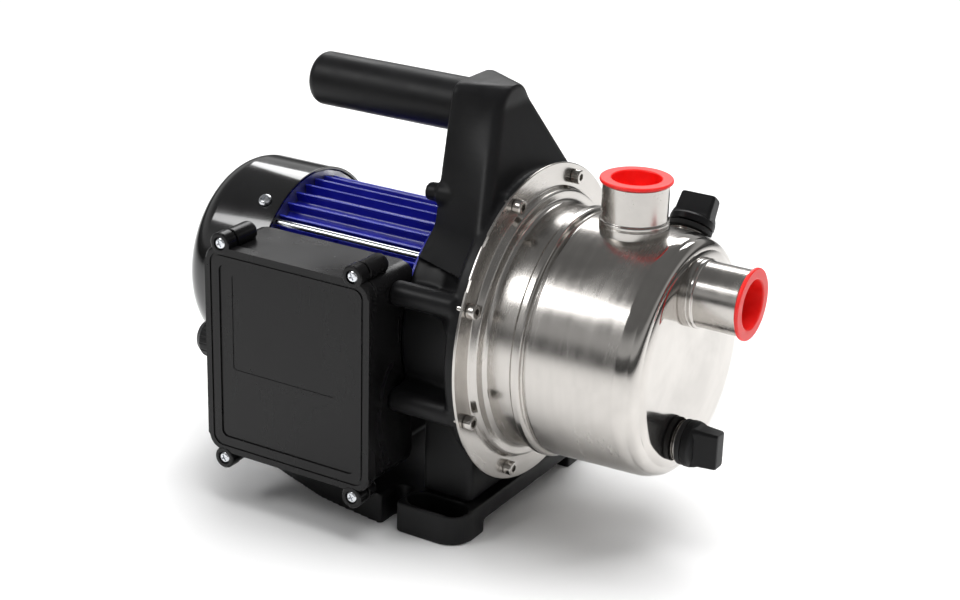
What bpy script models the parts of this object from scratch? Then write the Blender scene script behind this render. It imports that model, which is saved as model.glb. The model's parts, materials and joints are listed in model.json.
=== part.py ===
"""Shallow well jet pump: a finned, fan-cooled motor on a plastic bracket with a carrying handle,
driving a stainless steel pump casing with one port on top and one on its front face.

Units are metres. The design frame has its origin on the shaft axis at the front face of the casing
flange, +X towards the suction port, +Z up, and the terminal box at -Y. The root empty then moves the
whole pump so that the world origin is the middle of its footprint, on the ground."""

import math

import bmesh
import bpy
from mathutils import Matrix, Vector

MM = 0.001
GAP = 0.3 * MM  # between pieces that touch or fit together
SMOOTH_ANGLE = math.radians(35)
ROUND_STEPS = 32  # a multiple of four, so that round pieces reach their full radius along Y and Z
MEDIUM_STEPS = 20
SMALL_STEPS = 12
ALONG_X = (0, math.pi / 2, 0)  # turns a piece modelled along +Z to lie along +X
ALONG_MINUS_X = (0, -math.pi / 2, 0)
ALONG_MINUS_Y = (math.pi / 2, 0, 0)

# Stainless casing
SHEET = 1.5 * MM
FLANGE_R = 93 * MM
FLANGE_BAND_R = 79.3 * MM
FLANGE_BAND_HEIGHT = 4.6 * MM
NECK_R = 70.8 * MM
NECK_FILLET = 3 * MM
BEAD_X = 25 * MM
BEAD_WIDTH = 4.5 * MM
BEAD_HEIGHT = 1.8 * MM
CASING_FACE_X = 97 * MM
CASING_FRONT_R = 69 * MM
SHOULDER_R = 14 * MM

# Ports, for a one-inch pipe thread
PORT_R = 18.5 * MM
PORT_BORE_R = 15.3 * MM
PORT_NECK_R = PORT_R - 1.6 * MM
PORT_BEAD_R = PORT_R + 1.1 * MM
PORT_BEAD_HEIGHT = 4.8 * MM
PORT_INSIDE_LENGTH = 4 * MM
DISCHARGE_X = 56.4 * MM
DISCHARGE_TOP_Z = 95.5 * MM
SUCTION_Z = 40.3 * MM
SUCTION_END_X = 127.5 * MM
CAP_RING_R = 20.3 * MM
CAP_RING_THICKNESS = 2.2 * MM
CAP_WALL = 1.2 * MM
CAP_DEPTH = 12 * MM

# Priming and drain plugs
PLUG_DISC_R = 13.3 * MM
PLUG_DISC_THICKNESS = 5 * MM
PLUG_WING_HEIGHT = 14 * MM
PLUG_WING_LENGTH = 22 * MM
PLUG_WING_WIDTH = 12 * MM
PLUG_THREAD_R = 8 * MM
PLUG_THREAD_LENGTH = 12 * MM
PLUG_WASHER_R = 13 * MM
PLUG_WASHER_THICKNESS = 3.4 * MM
BOSS_WALL = 2 * MM
BOSS_LENGTH = 7 * MM
BOSS_HEAD_HEIGHT = 1.1 * MM
BOSS_HEAD_OVERHANG = 1.2 * MM
PRIMING_X = 70 * MM
PRIMING_ANGLE = math.radians(37)  # from straight up towards +Y
DRAIN_Y = -8 * MM
DRAIN_Z = -46 * MM

# Flange joint
SCREW_CIRCLE_R = 85.8 * MM
SCREW_COUNT = 8
SCREW_R = 2.5 * MM
SCREW_HEAD_R = 4.2 * MM
SCREW_HEAD_HEIGHT = 5 * MM
SCREW_LENGTH = 26 * MM
SOCKET_R = 2 * MM
SOCKET_DEPTH = 2.5 * MM
RING_SEAL_R = 2.2 * MM

# Seal plate and wet parts
SEAL_PLATE_THICKNESS = 2 * MM
SEAL_PLATE_R = NECK_R - SHEET - 1.3 * MM
SHAFT_R = 7 * MM
SHAFT_PUMP_R = 6 * MM
SEAL_SEAT_R = 13 * MM
SEAL_SEAT_LENGTH = 6 * MM
SEAL_ROTARY_R = 12 * MM
SEAL_ROTARY_LENGTH = 14 * MM
IMPELLER_HUB_R = 11 * MM
IMPELLER_EYE_R = 17 * MM
IMPELLER_WIDTH = 11 * MM
IMPELLER_SHROUD = 2 * MM
IMPELLER_X = 26 * MM
IMPELLER_VANES = 6
IMPELLER_NUT_R = 10 * MM
IMPELLER_NUT_HEIGHT = 5 * MM
DIFFUSER_R = NECK_R - SHEET - 11.3 * MM
DIFFUSER_X = 40 * MM
DIFFUSER_PLATE = 3 * MM
IMPELLER_R = DIFFUSER_R - DIFFUSER_PLATE - 3 * MM
DIFFUSER_WALL_LENGTH = 16 * MM
DIFFUSER_TUBE_R = 12 * MM
DIFFUSER_THROAT_R = 7 * MM
DIFFUSER_TUBE_END_X = 76 * MM
NOZZLE_R = 6.5 * MM
NOZZLE_MOUTH_R = 3.5 * MM
NOZZLE_FLANGE_R = 15 * MM
NOZZLE_LENGTH = 12 * MM

# Bracket with the carrying handle
BRACKET_FRONT_X = -2.2 * MM
BRACKET_REAR_X = -50 * MM
BRACKET_RING_R = 88 * MM
BRACKET_RING_DEPTH = 8 * MM
DRUM_R = 70 * MM
DRUM_BORE_R = 62 * MM
BOSS_R = 7.2 * MM
BOSS_CIRCLE_R = 83.2 * MM
TOP_BOSS_EXTRA = 7 * MM  # how much further back the two top bosses reach
COLUMN_FRONT_R = 17 * MM
COLUMN_REAR_HALF_WIDTH = 24 * MM
COLUMN_TOP_Z = 138.5 * MM
COLUMN_CORNER_R = 7 * MM
COLUMN_TAPER = 0.18  # growth of the rear half width for each unit down
COLUMN_FILLET_R = 30 * MM
COLUMN_FILLET_CENTRE = (63.6 * MM, 74.6 * MM)
COLUMN_LEAN = 16 * MM  # how far the column's front face sits back at the handle's height
LEG_HALF_WIDTH = 57 * MM
LEG_REAR_X = -42 * MM
LEG_FRONT_X = -9.5 * MM
GRIP_Z = 119.9 * MM
GRIP_R = 15.7 * MM
GRIP_END_X = -154 * MM
GRIP_ROUNDING = 6 * MM
SPIGOT_R = 11 * MM
SPIGOT_LENGTH = 20 * MM

# Base
GROUND_Z = -115 * MM
BASE_TOP_Z = -96 * MM
BASE_PLATE_Z = -107 * MM
BASE_FRONT_X = -3.5 * MM
BASE_REAR_X = -155 * MM
FOOT_HALF_WIDTH = 78 * MM
BASE_SLOT_SIDE = 76 * MM
BASE_REAR_HALF_WIDTH = 50 * MM
BASE_MIDDLE_HALF_WIDTH = 70 * MM
BASE_MIDDLE_X = -95 * MM
BASE_CORNER_R = 14 * MM
SLOT_X = -51.8 * MM
SLOT_WIDTH = 11.5 * MM
SLOT_DEPTH = 18 * MM
ARCH_HALF_WIDTH = 50 * MM
POCKET_WALL = 3.5 * MM
POCKET_FLOOR = 6 * MM
CRADLE_FRONT_X = -88 * MM
CRADLE_REAR_X = -140 * MM
CRADLE_HALF_WIDTH = 32 * MM

# Motor
MOTOR_R = 56 * MM
MOTOR_BORE_R = 46 * MM
FIN_COUNT = 36
FIN_HEIGHT = 6 * MM
FIN_WIDTH = 0.24  # of the fins' pitch
MOTOR_FRONT_X = -57 * MM
MOTOR_REAR_X = -158 * MM
SHIELD_R = 59.3 * MM
SHIELD_PLATE = 5 * MM
SHIELD_LIP = 5 * MM
BEARING_R = 17.5 * MM
BEARING_WIDTH = 11 * MM
BEARING_HOUSING_WALL = 4 * MM
STATOR_BORE_R = 27 * MM
STATOR_FRONT_X = -80 * MM
STATOR_REAR_X = -130 * MM
AIR_GAP = 0.5 * MM
CORE_OVERHANG = 2 * MM
WINDING_LENGTH = 14 * MM
WINDING_R = 42 * MM
WINDING_BORE_R = 30 * MM
TIE_ROD_R = 2.4 * MM
TIE_ROD_HEAD_R = 3.8 * MM
TIE_ROD_HEAD_HEIGHT = 3 * MM
TIE_ROD_CIRCLE_R = 55.5 * MM
TIE_ROD_GROOVE = 1.6 * MM  # clear round each rod where it crosses the fins

# Fan and its cover
COVER_R = 61.5 * MM
COVER_WALL = 1.8 * MM
COVER_FRONT_X = -157 * MM
COVER_REAR_X = -214 * MM
COVER_ROUNDING = 16.7 * MM
COVER_VENT_WIDTH = 3.5 * MM
COVER_VENT_PITCH = 9 * MM
COVER_VENT_HALF_LENGTH = 34 * MM
COVER_VENT_COUNT = 7
COVER_SCREW_X = -168 * MM
COVER_SCREW_ANGLE = math.radians(126.3)  # from +Y towards +Z
COVER_SCREW_COUNT = 3
COVER_SCREW_LENGTH = 8 * MM
LUG_HALF_WIDTH = 3.8 * MM
FAN_R = 52 * MM
FAN_HUB_R = 13 * MM
FAN_DISC = 2 * MM
FAN_BLADE_DEPTH = 16 * MM
FAN_BLADE_THICKNESS = 2 * MM
FAN_BLADES = 8
FAN_X = -186 * MM
SHAFT_REAR_X = -202 * MM

# Terminal box
BOX_REAR_X = -158.5 * MM
BOX_FRONT_X = -49 * MM
BOX_BOTTOM_Z = -80.2 * MM
BOX_TOP_Z = 43.5 * MM
BOX_BACK_Y = -58 * MM
BOX_RIM_Y = -95 * MM
BOX_LID_Y = BOX_RIM_Y - 10 * MM
BOX_WALL = 2.5 * MM
BOX_CORNER_R = 8 * MM
LID_OVERHANG = 1.5 * MM
GASKET_THICKNESS = 1.5 * MM
GASKET_SQUEEZE_GAP = 0.3 * MM
LID_SCREW_INSET_X = 9.8 * MM
LID_SCREW_ABOVE = 3.6 * MM
LID_SCREW_BELOW = 5.6 * MM
UPPER_LUG_BACK_Y = -76 * MM
LOWER_LUG_BACK_Y = -86 * MM
LUG_R = 6 * MM
LID_SCREW_R = 2 * MM
LID_SCREW_HEAD_R = 3.6 * MM
LID_SCREW_LENGTH = 14 * MM
LID_SCREW_RECESS = 2 * MM
GLAND_Y = -80 * MM
GLAND_Z = -24 * MM
GLAND_R = 13 * MM
GLAND_BORE_R = 5 * MM
GLAND_BODY_LENGTH = 7 * MM
GLAND_NUT_LENGTH = 14 * MM
CAPACITOR_R = 13 * MM
CAPACITOR_LENGTH = 60 * MM

# The ground under the middle of the footprint, in the design frame
FRAME_ORIGIN = Vector((
    (COVER_REAR_X + SUCTION_END_X + GAP + CAP_RING_THICKNESS) / 2,
    (BOX_LID_Y + FLANGE_R) / 2,
    GROUND_Z,
))

STEEL = ("stainless", (0.62, 0.60, 0.57), 0.22, 1.0)
SHAFT_STEEL = ("shaft_steel", (0.50, 0.50, 0.50), 0.35, 1.0)
ZINC = ("zinc_steel", (0.75, 0.77, 0.80), 0.25, 1.0)
RED = ("red_plastic", (0.85, 0.02, 0.02), 0.35, 0.0)
BLACK = ("black_plastic", (0.018, 0.018, 0.019), 0.50, 0.0)
GLOSS_BLACK = ("gloss_black_paint", (0.010, 0.010, 0.010), 0.10, 0.0)
BOX_BLACK = ("box_plastic", (0.022, 0.022, 0.023), 0.32, 0.0)
BLUE = ("blue_paint", (0.010, 0.012, 0.30), 0.28, 0.0)
ALUMINIUM = ("cast_aluminium", (0.62, 0.62, 0.63), 0.45, 1.0)
RUBBER = ("black_rubber", (0.02, 0.02, 0.02), 0.80, 0.0)
WET_PLASTIC = ("wet_end_plastic", (0.10, 0.10, 0.11), 0.50, 0.0)
LAMINATION = ("lamination_steel", (0.30, 0.30, 0.32), 0.50, 1.0)
COPPER = ("copper_winding", (0.70, 0.30, 0.14), 0.40, 1.0)
CERAMIC = ("ceramic", (0.85, 0.84, 0.80), 0.30, 0.0)
CREAM = ("cream_plastic", (0.80, 0.77, 0.68), 0.45, 0.0)

parts = None
cutters = None
root = None


# Scene helpers


def clear_scene():
    for obj in list(bpy.data.objects):
        bpy.data.objects.remove(obj, do_unlink=True)


def new_collection(name):
    collection = bpy.data.collections.new(name)
    bpy.context.scene.collection.children.link(collection)
    return collection


def material_of(spec):
    name, colour, roughness, metallic = spec
    material = bpy.data.materials.get(name)
    if material is None:
        material = bpy.data.materials.new(name)
        material.use_nodes = True
        shader = material.node_tree.nodes["Principled BSDF"]
        shader.inputs["Base Color"].default_value = (*colour, 1)
        shader.inputs["Roughness"].default_value = roughness
        shader.inputs["Metallic"].default_value = metallic
        material.diffuse_color = (*colour, 1)
    return material


def place(obj, location=(0, 0, 0), rotation=(0, 0, 0), parent=None):
    obj.location = location
    obj.rotation_euler = rotation
    obj.parent = parent or root
    return obj


def finish(obj, spec):
    """Makes the object a visible part of the pump with its material."""
    parts.objects.link(obj)
    obj.data.materials.append(material_of(spec))
    if obj.type == "MESH":
        obj.data.shade_smooth()
        obj.data.set_sharp_from_angle(angle=SMOOTH_ANGLE)
    return obj


def hide_as_cutter(obj):
    cutters.objects.link(obj)
    obj.hide_render = True
    obj.display_type = "WIRE"
    return obj


def combine(obj, other, operation="DIFFERENCE", solver="EXACT"):
    modifier = obj.modifiers.new(operation.lower() + "_" + other.name, "BOOLEAN")
    modifier.operation = operation
    modifier.solver = solver
    modifier.object = other
    return obj


def cut(obj, *tools, solver="EXACT"):
    for tool in tools:
        combine(obj, hide_as_cutter(tool), solver=solver)
    return obj


def weld_on(obj, *pieces, solver="EXACT"):
    for piece in pieces:
        combine(obj, hide_as_cutter(piece), "UNION", solver)
    return obj


def mesh_object(name, build):
    mesh = bpy.data.meshes.new(name)
    bm = bmesh.new()
    build(bm)
    bm.normal_update()
    bm.to_mesh(mesh)
    bm.free()
    return bpy.data.objects.new(name, mesh)


def turned(name, profile, steps=ROUND_STEPS, closed=True):
    """A profile of (radius, height) turned about +Z. It runs down the outer side, and back up the
    inner side if it is closed. An open profile starts and ends on the axis."""

    def build(bm):
        points = [bm.verts.new((radius, 0, height)) for radius, height in profile]
        for first, second in zip(points, points[1:]):
            bm.edges.new((first, second))
        if closed:
            bm.edges.new((points[-1], points[0]))

    obj = mesh_object(name, build)
    screw = obj.modifiers.new("turn", "SCREW")
    screw.steps = steps
    screw.render_steps = steps
    screw.use_merge_vertices = True
    screw.merge_threshold = 1e-6
    screw.use_smooth_shade = True
    return obj


def cylinder(name, radius, low, high, steps=ROUND_STEPS, chamfer=0.0):
    if chamfer:
        profile = [(0, high), (radius - chamfer, high), (radius, high - chamfer), (radius, low), (0, low)]
        return turned(name, profile, steps, closed=False)
    return turned(name, [(0, high), (radius, high), (radius, low), (0, low)], steps, closed=False)


def tube(name, outer, inner, low, high, steps=ROUND_STEPS):
    return turned(name, [(outer, high), (outer, low), (inner, low), (inner, high)], steps)


def box(name, low, high, rounding=0.0, segments=2):
    low, high = Vector(low), Vector(high)

    def build(bm):
        middle = (low + high) / 2
        scale = Matrix.Diagonal((*(high - low), 1))
        bmesh.ops.create_cube(bm, size=1, matrix=Matrix.Translation(middle) @ scale)

    obj = mesh_object(name, build)
    if rounding:
        bevel = obj.modifiers.new("round", "BEVEL")
        bevel.width = rounding
        bevel.segments = segments
    return obj


def arc(centre, radius, start, end, count):
    """Points on an arc, angles in degrees."""
    points = []
    for i in range(count + 1):
        angle = math.radians(start + (end - start) * i / count)
        points.append((centre[0] + radius * math.cos(angle), centre[1] + radius * math.sin(angle)))
    return points


def rounded_rectangle(low, high, radius, count=3):
    return (
        arc((high[0] - radius, high[1] - radius), radius, 0, 90, count)
        + arc((low[0] + radius, high[1] - radius), radius, 90, 180, count)
        + arc((low[0] + radius, low[1] + radius), radius, 180, 270, count)
        + arc((high[0] - radius, low[1] + radius), radius, 270, 360, count)
    )


def extruded(name, outlines, low, high):
    """Flat outlines in XY, the first one outermost, filled and extruded from low to high along +Z."""
    curve = bpy.data.curves.new(name, "CURVE")
    curve.dimensions = "2D"
    curve.fill_mode = "BOTH"
    curve.extrude = (high - low) / 2
    for outline in outlines:
        spline = curve.splines.new("POLY")
        spline.points.add(len(outline) - 1)
        for point, (x, y) in zip(spline.points, outline):
            point.co = (x, y, 0, 1)
        spline.use_cyclic_u = True
    source = bpy.data.objects.new(name + "_outline", curve)
    bpy.context.scene.collection.objects.link(source)
    graph = bpy.context.evaluated_depsgraph_get()
    mesh = bpy.data.meshes.new_from_object(source.evaluated_get(graph), depsgraph=graph)
    bpy.data.objects.remove(source, do_unlink=True)
    bpy.data.curves.remove(curve)
    bm = bmesh.new()
    bm.from_mesh(mesh)
    bmesh.ops.remove_doubles(bm, verts=bm.verts, dist=1e-6)
    bmesh.ops.translate(bm, verts=bm.verts, vec=(0, 0, (low + high) / 2))
    bmesh.ops.recalc_face_normals(bm, faces=bm.faces)
    bm.to_mesh(mesh)
    bm.free()
    mesh.name = name
    return bpy.data.objects.new(name, mesh)


def lofted(name, sections):
    """A closed skin through sections, each a ring of the same number of points in the same order."""

    def build(bm):
        rings = [[bm.verts.new(point) for point in section] for section in sections]
        count = len(rings[0])
        for first, second in zip(rings, rings[1:]):
            for i in range(count):
                j = (i + 1) % count
                bm.faces.new((first[i], first[j], second[j], second[i]))
        bm.faces.new(rings[0])
        bm.faces.new(rings[-1])
        bmesh.ops.recalc_face_normals(bm, faces=bm.faces)

    return mesh_object(name, build)


# Casing and ports


def casing_side(inset, beaded):
    """Half profile of the casing's skin from the front face's centre to the flange's rim, moved
    inwards by inset, with or without the rolled bead: (radius, x)."""
    shoulder_x = CASING_FACE_X - SHOULDER_R
    shoulder = arc((CASING_FRONT_R - SHOULDER_R, shoulder_x), SHOULDER_R - inset, 90, 0, 4)
    bead_half = BEAD_WIDTH / 2
    bead_r = NECK_R + BEAD_HEIGHT
    fillet_r = NECK_FILLET + inset
    band_x = FLANGE_BAND_HEIGHT
    fillet_centre = (NECK_R + NECK_FILLET, band_x + NECK_FILLET)
    fillet = arc(fillet_centre, fillet_r, 180, 270, 2)
    bead = [
        (bead_r - inset, BEAD_X + bead_half / 2),
        (bead_r - inset, BEAD_X - bead_half / 2),
        (NECK_R - inset, BEAD_X - bead_half - BEAD_HEIGHT / 2),
    ]
    return (
        [(0, CASING_FACE_X - inset)]
        + shoulder
        + [(NECK_R - inset, BEAD_X + bead_half + BEAD_HEIGHT / 2)]
        + (bead if beaded else [])
        + fillet
        + [
            (FLANGE_BAND_R - SHEET - inset, band_x - inset),
            (FLANGE_BAND_R - inset, band_x - SHEET - inset),
            (FLANGE_BAND_R - inset, -inset),
            (FLANGE_R, -inset),
        ]
    )


def make_casing():
    outside = casing_side(0, True)
    inside = casing_side(SHEET, False)
    casing = turned("pump_casing", outside + inside[::-1], ROUND_STEPS, closed=False)
    place(casing, rotation=ALONG_X)
    finish(casing, STEEL)
    cut(
        casing,
        place(port_hole("discharge_hole"), (DISCHARGE_X, 0, discharge_base())),
        place(port_hole("suction_hole"), (CASING_FACE_X, 0, SUCTION_Z), ALONG_X),
    )
    for index in range(SCREW_COUNT):
        hole = cylinder(f"flange_hole_{index}", SCREW_R + GAP, -3 * SHEET, 3 * SHEET, SMALL_STEPS)
        cut(casing, place(hole, on_circle(0, SCREW_CIRCLE_R, flange_angle(index)), ALONG_X))
    priming_hole = cylinder("priming_hole", boss_r() + GAP, -BOSS_LENGTH, BOSS_LENGTH, MEDIUM_STEPS)
    cut(casing, place(priming_hole, *priming_seat()))
    drain_hole = cylinder("drain_hole", boss_r() + GAP, -BOSS_LENGTH, BOSS_LENGTH, MEDIUM_STEPS)
    cut(casing, place(drain_hole, *drain_seat()))
    return casing


def discharge_base():
    """Height of the crown of the casing under the discharge port."""
    along = (DISCHARGE_X - BEAD_X) / (CASING_FACE_X - SHOULDER_R - BEAD_X)
    return NECK_R + (CASING_FRONT_R - NECK_R) * along


def port_hole(name):
    """Clears the port's neck below the bead and the bead itself from its underside outwards."""
    clear_r = PORT_NECK_R + GAP
    bead_r = PORT_BEAD_R + GAP
    return turned(
        name,
        [(0, PORT_R), (bead_r, PORT_R), (bead_r, 0), (clear_r, 0), (clear_r, -PORT_R), (0, -PORT_R)],
        MEDIUM_STEPS,
        closed=False,
    )


def make_port(name, length, location, rotation):
    """A port with its bead standing on the casing, modelled along +Z from the casing's surface."""
    bead_low = GAP
    bead_high = bead_low + PORT_BEAD_HEIGHT
    bead_middle = (bead_low + bead_high) / 2
    bevel = PORT_BEAD_R - PORT_R
    port = turned(
        name,
        [
            (PORT_R, length),
            (PORT_R, bead_high),
            (PORT_BEAD_R, bead_middle + bevel),
            (PORT_BEAD_R, bead_middle - bevel),
            (PORT_R, bead_low),
            (PORT_NECK_R, bead_low),
            (PORT_NECK_R, -PORT_INSIDE_LENGTH),
            (PORT_BORE_R, -PORT_INSIDE_LENGTH),
            (PORT_BORE_R, length),
        ],
        MEDIUM_STEPS,
    )
    return finish(place(port, location, rotation), STEEL)


def make_cap(name, location, rotation):
    """A push-in transport cap: a ring on the port's rim and a blind cup inside its bore."""
    cup_r = PORT_BORE_R - GAP
    recess_r = cup_r - CAP_WALL
    cap = turned(
        name,
        [
            (0, CAP_WALL - CAP_DEPTH),
            (recess_r, CAP_WALL - CAP_DEPTH),
            (recess_r, GAP + CAP_RING_THICKNESS),
            (CAP_RING_R, GAP + CAP_RING_THICKNESS),
            (CAP_RING_R, GAP),
            (cup_r, GAP),
            (cup_r, -CAP_DEPTH),
            (0, -CAP_DEPTH),
        ],
        MEDIUM_STEPS + 4,
        closed=False,
    )
    return finish(place(cap, location, rotation), RED)


def make_ports():
    base_z = discharge_base()
    make_port("discharge_port", DISCHARGE_TOP_Z - base_z, (DISCHARGE_X, 0, base_z), (0, 0, 0))
    make_port("suction_port", SUCTION_END_X - CASING_FACE_X, (CASING_FACE_X, 0, SUCTION_Z), ALONG_X)
    make_cap("discharge_cap", (DISCHARGE_X, 0, DISCHARGE_TOP_Z), (0, 0, 0))
    make_cap("suction_cap", (SUCTION_END_X, 0, SUCTION_Z), ALONG_X)


# Priming and drain plugs


def boss_r():
    return PLUG_THREAD_R + GAP + BOSS_WALL


def priming_seat():
    """Where the priming plug's axis leaves the casing, and the turn that points +Z along it."""
    along = (PRIMING_X - BEAD_X) / (CASING_FACE_X - SHOULDER_R - BEAD_X)
    radius = NECK_R + (CASING_FRONT_R - NECK_R) * along + GAP
    location = (PRIMING_X, radius * math.sin(PRIMING_ANGLE), radius * math.cos(PRIMING_ANGLE))
    return location, (-PRIMING_ANGLE, 0, 0)


def drain_seat():
    return (CASING_FACE_X, DRAIN_Y, DRAIN_Z), ALONG_X


def make_plug_set(prefix, seat, sag):
    """A welded boss, a rubber washer and a plug with a wing grip, stacked along the seat's axis. Sag
    is how far the casing's skin falls away under the boss's edge."""
    location, rotation = seat
    top = BOSS_HEAD_HEIGHT
    head_r = boss_r() + BOSS_HEAD_OVERHANG
    bore_r = PLUG_THREAD_R + GAP
    boss = turned(
        prefix + "_boss",
        [
            (head_r, top),
            (head_r, GAP),
            (boss_r(), GAP),
            (boss_r(), -BOSS_LENGTH - sag),
            (bore_r, -BOSS_LENGTH - sag),
            (bore_r, top),
        ],
        MEDIUM_STEPS,
    )
    finish(place(boss, location, rotation), STEEL)
    low = top + GAP
    high = low + PLUG_WASHER_THICKNESS
    washer = tube(prefix + "_plug_washer", PLUG_WASHER_R, bore_r, low, high, MEDIUM_STEPS)
    finish(place(washer, location, rotation), RUBBER)
    disc_low = high + GAP
    disc_high = disc_low + PLUG_DISC_THICKNESS
    edge = PLUG_DISC_THICKNESS / 5
    plug = turned(
        prefix + "_plug",
        [
            (0, disc_high),
            (PLUG_DISC_R - edge, disc_high),
            (PLUG_DISC_R, disc_high - edge),
            (PLUG_DISC_R, disc_low),
            (PLUG_THREAD_R, disc_low),
            (PLUG_THREAD_R, disc_low - PLUG_THREAD_LENGTH),
            (0, disc_low - PLUG_THREAD_LENGTH),
        ],
        MEDIUM_STEPS,
        closed=False,
    )
    finish(place(plug, location, rotation), BLACK)
    half_length = PLUG_WING_LENGTH / 2
    half_width = PLUG_WING_WIDTH / 2
    wing = box(
        prefix + "_wing",
        (-half_length, -half_width, disc_high - edge),
        (half_length, half_width, disc_high + PLUG_WING_HEIGHT),
        edge,
        1,
    )
    weld_on(plug, place(wing, location, rotation))


# Flange joint and wet end


def flange_angle(index):
    return math.radians(360 / SCREW_COUNT * (index + 0.5))


def on_circle(x, radius, angle):
    """A point at an angle from +Y towards +Z about the shaft axis."""
    return (x, radius * math.cos(angle), radius * math.sin(angle))


def make_flange_screws():
    """Socket head screws, modelled along +X with the head's underside at zero."""
    for index in range(SCREW_COUNT):
        screw = turned(
            f"flange_screw_{index + 1}",
            [
                (0, SCREW_HEAD_HEIGHT - SOCKET_DEPTH),
                (SOCKET_R, SCREW_HEAD_HEIGHT - SOCKET_DEPTH),
                (SOCKET_R, SCREW_HEAD_HEIGHT),
                (SCREW_HEAD_R, SCREW_HEAD_HEIGHT),
                (SCREW_HEAD_R, GAP),
                (SCREW_R, GAP),
                (SCREW_R, -SCREW_LENGTH),
                (0, -SCREW_LENGTH),
            ],
            12,
            closed=False,
        )
        place(screw, on_circle(0, SCREW_CIRCLE_R, flange_angle(index)), ALONG_X)
        finish(screw, STEEL)


def make_seal_plate():
    """The stainless plate behind the impeller. Its rim lies between the casing flange and bracket
    ring inside the screws, and its cup holds the mechanical seal's seat."""
    rim_x = -SHEET - GAP
    cup_r = SEAL_SEAT_R + GAP + SEAL_PLATE_THICKNESS
    cup_x = seal_face_x() - SEAL_SEAT_LENGTH - GAP
    hole_r = SHAFT_PUMP_R + 2 * MM
    plate = turned(
        "seal_plate",
        [
            (cup_r, seal_face_x()),
            (SEAL_PLATE_R, seal_face_x()),
            (SEAL_PLATE_R, rim_x - SEAL_PLATE_THICKNESS),
            (SEAL_PLATE_R - SEAL_PLATE_THICKNESS, rim_x - SEAL_PLATE_THICKNESS),
            (SEAL_PLATE_R - SEAL_PLATE_THICKNESS, seal_face_x() - SEAL_PLATE_THICKNESS),
            (cup_r, seal_face_x() - SEAL_PLATE_THICKNESS),
            (cup_r, cup_x - SEAL_PLATE_THICKNESS),
            (hole_r, cup_x - SEAL_PLATE_THICKNESS),
            (hole_r, cup_x),
            (SEAL_SEAT_R + GAP, cup_x),
            (SEAL_SEAT_R + GAP, seal_face_x()),
        ],
        ROUND_STEPS,
    )
    finish(place(plate, rotation=ALONG_X), STEEL)
    seat_low = cup_x + GAP
    seat = tube("seal_seat", SEAL_SEAT_R, hole_r, seat_low, seat_low + SEAL_SEAT_LENGTH, MEDIUM_STEPS)
    finish(place(seat, rotation=ALONG_X), CERAMIC)


def seal_face_x():
    """Front face of the seal plate, one seal length behind the impeller's hub."""
    return IMPELLER_X - SEAL_ROTARY_LENGTH - 3 * GAP


def make_casing_seal():
    """The O-ring in the corner between the casing's neck and the seal plate's rim."""
    centre_r = SEAL_PLATE_R - SEAL_PLATE_THICKNESS - RING_SEAL_R - GAP
    centre_x = seal_face_x() - SEAL_PLATE_THICKNESS - RING_SEAL_R - GAP
    profile = arc((centre_r, centre_x), RING_SEAL_R, 0, -315, 7)
    ring = turned("casing_o_ring", profile, MEDIUM_STEPS)
    finish(place(ring, rotation=ALONG_X), RUBBER)


def make_wet_rotor():
    """Mechanical seal's turning half, closed impeller and its nut."""
    shaft_clear = SHAFT_PUMP_R + GAP
    rotary_low = seal_face_x() + GAP
    rotary = tube("seal_rotary", SEAL_ROTARY_R, shaft_clear, rotary_low, IMPELLER_X - GAP, MEDIUM_STEPS)
    finish(place(rotary, rotation=ALONG_X), RUBBER)
    front_x = IMPELLER_X + IMPELLER_WIDTH
    back = turned(
        "impeller",
        [
            (IMPELLER_HUB_R, front_x - IMPELLER_SHROUD),
            (IMPELLER_HUB_R, IMPELLER_X + IMPELLER_SHROUD),
            (IMPELLER_R, IMPELLER_X + IMPELLER_SHROUD),
            (IMPELLER_R, IMPELLER_X),
            (shaft_clear, IMPELLER_X),
            (shaft_clear, front_x - IMPELLER_SHROUD),
        ],
        MEDIUM_STEPS,
    )
    finish(place(back, rotation=ALONG_X), WET_PLASTIC)
    overlap = IMPELLER_SHROUD / 2
    back_x = front_x - IMPELLER_SHROUD
    shroud = tube("impeller_shroud", IMPELLER_R, IMPELLER_EYE_R, back_x, front_x, MEDIUM_STEPS)
    weld_on(back, place(shroud, rotation=ALONG_X))
    for index in range(IMPELLER_VANES):
        vane = box(
            f"impeller_vane_{index}",
            (IMPELLER_X + overlap, -IMPELLER_SHROUD / 2, IMPELLER_EYE_R),
            (front_x - overlap, IMPELLER_SHROUD / 2, IMPELLER_R - overlap),
        )
        weld_on(back, place(vane, rotation=(2 * math.pi * index / IMPELLER_VANES, 0, 0)))
    nut_low = front_x - IMPELLER_SHROUD + GAP
    hexagon = arc((0, 0), IMPELLER_NUT_R, 0, 300, 5)
    thread = arc((0, 0), shaft_clear, 0, 345, MEDIUM_STEPS - 1)
    nut = extruded("impeller_nut", [hexagon, thread], nut_low, nut_low + IMPELLER_NUT_HEIGHT)
    finish(place(nut, rotation=ALONG_X), SHAFT_STEEL)


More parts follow.
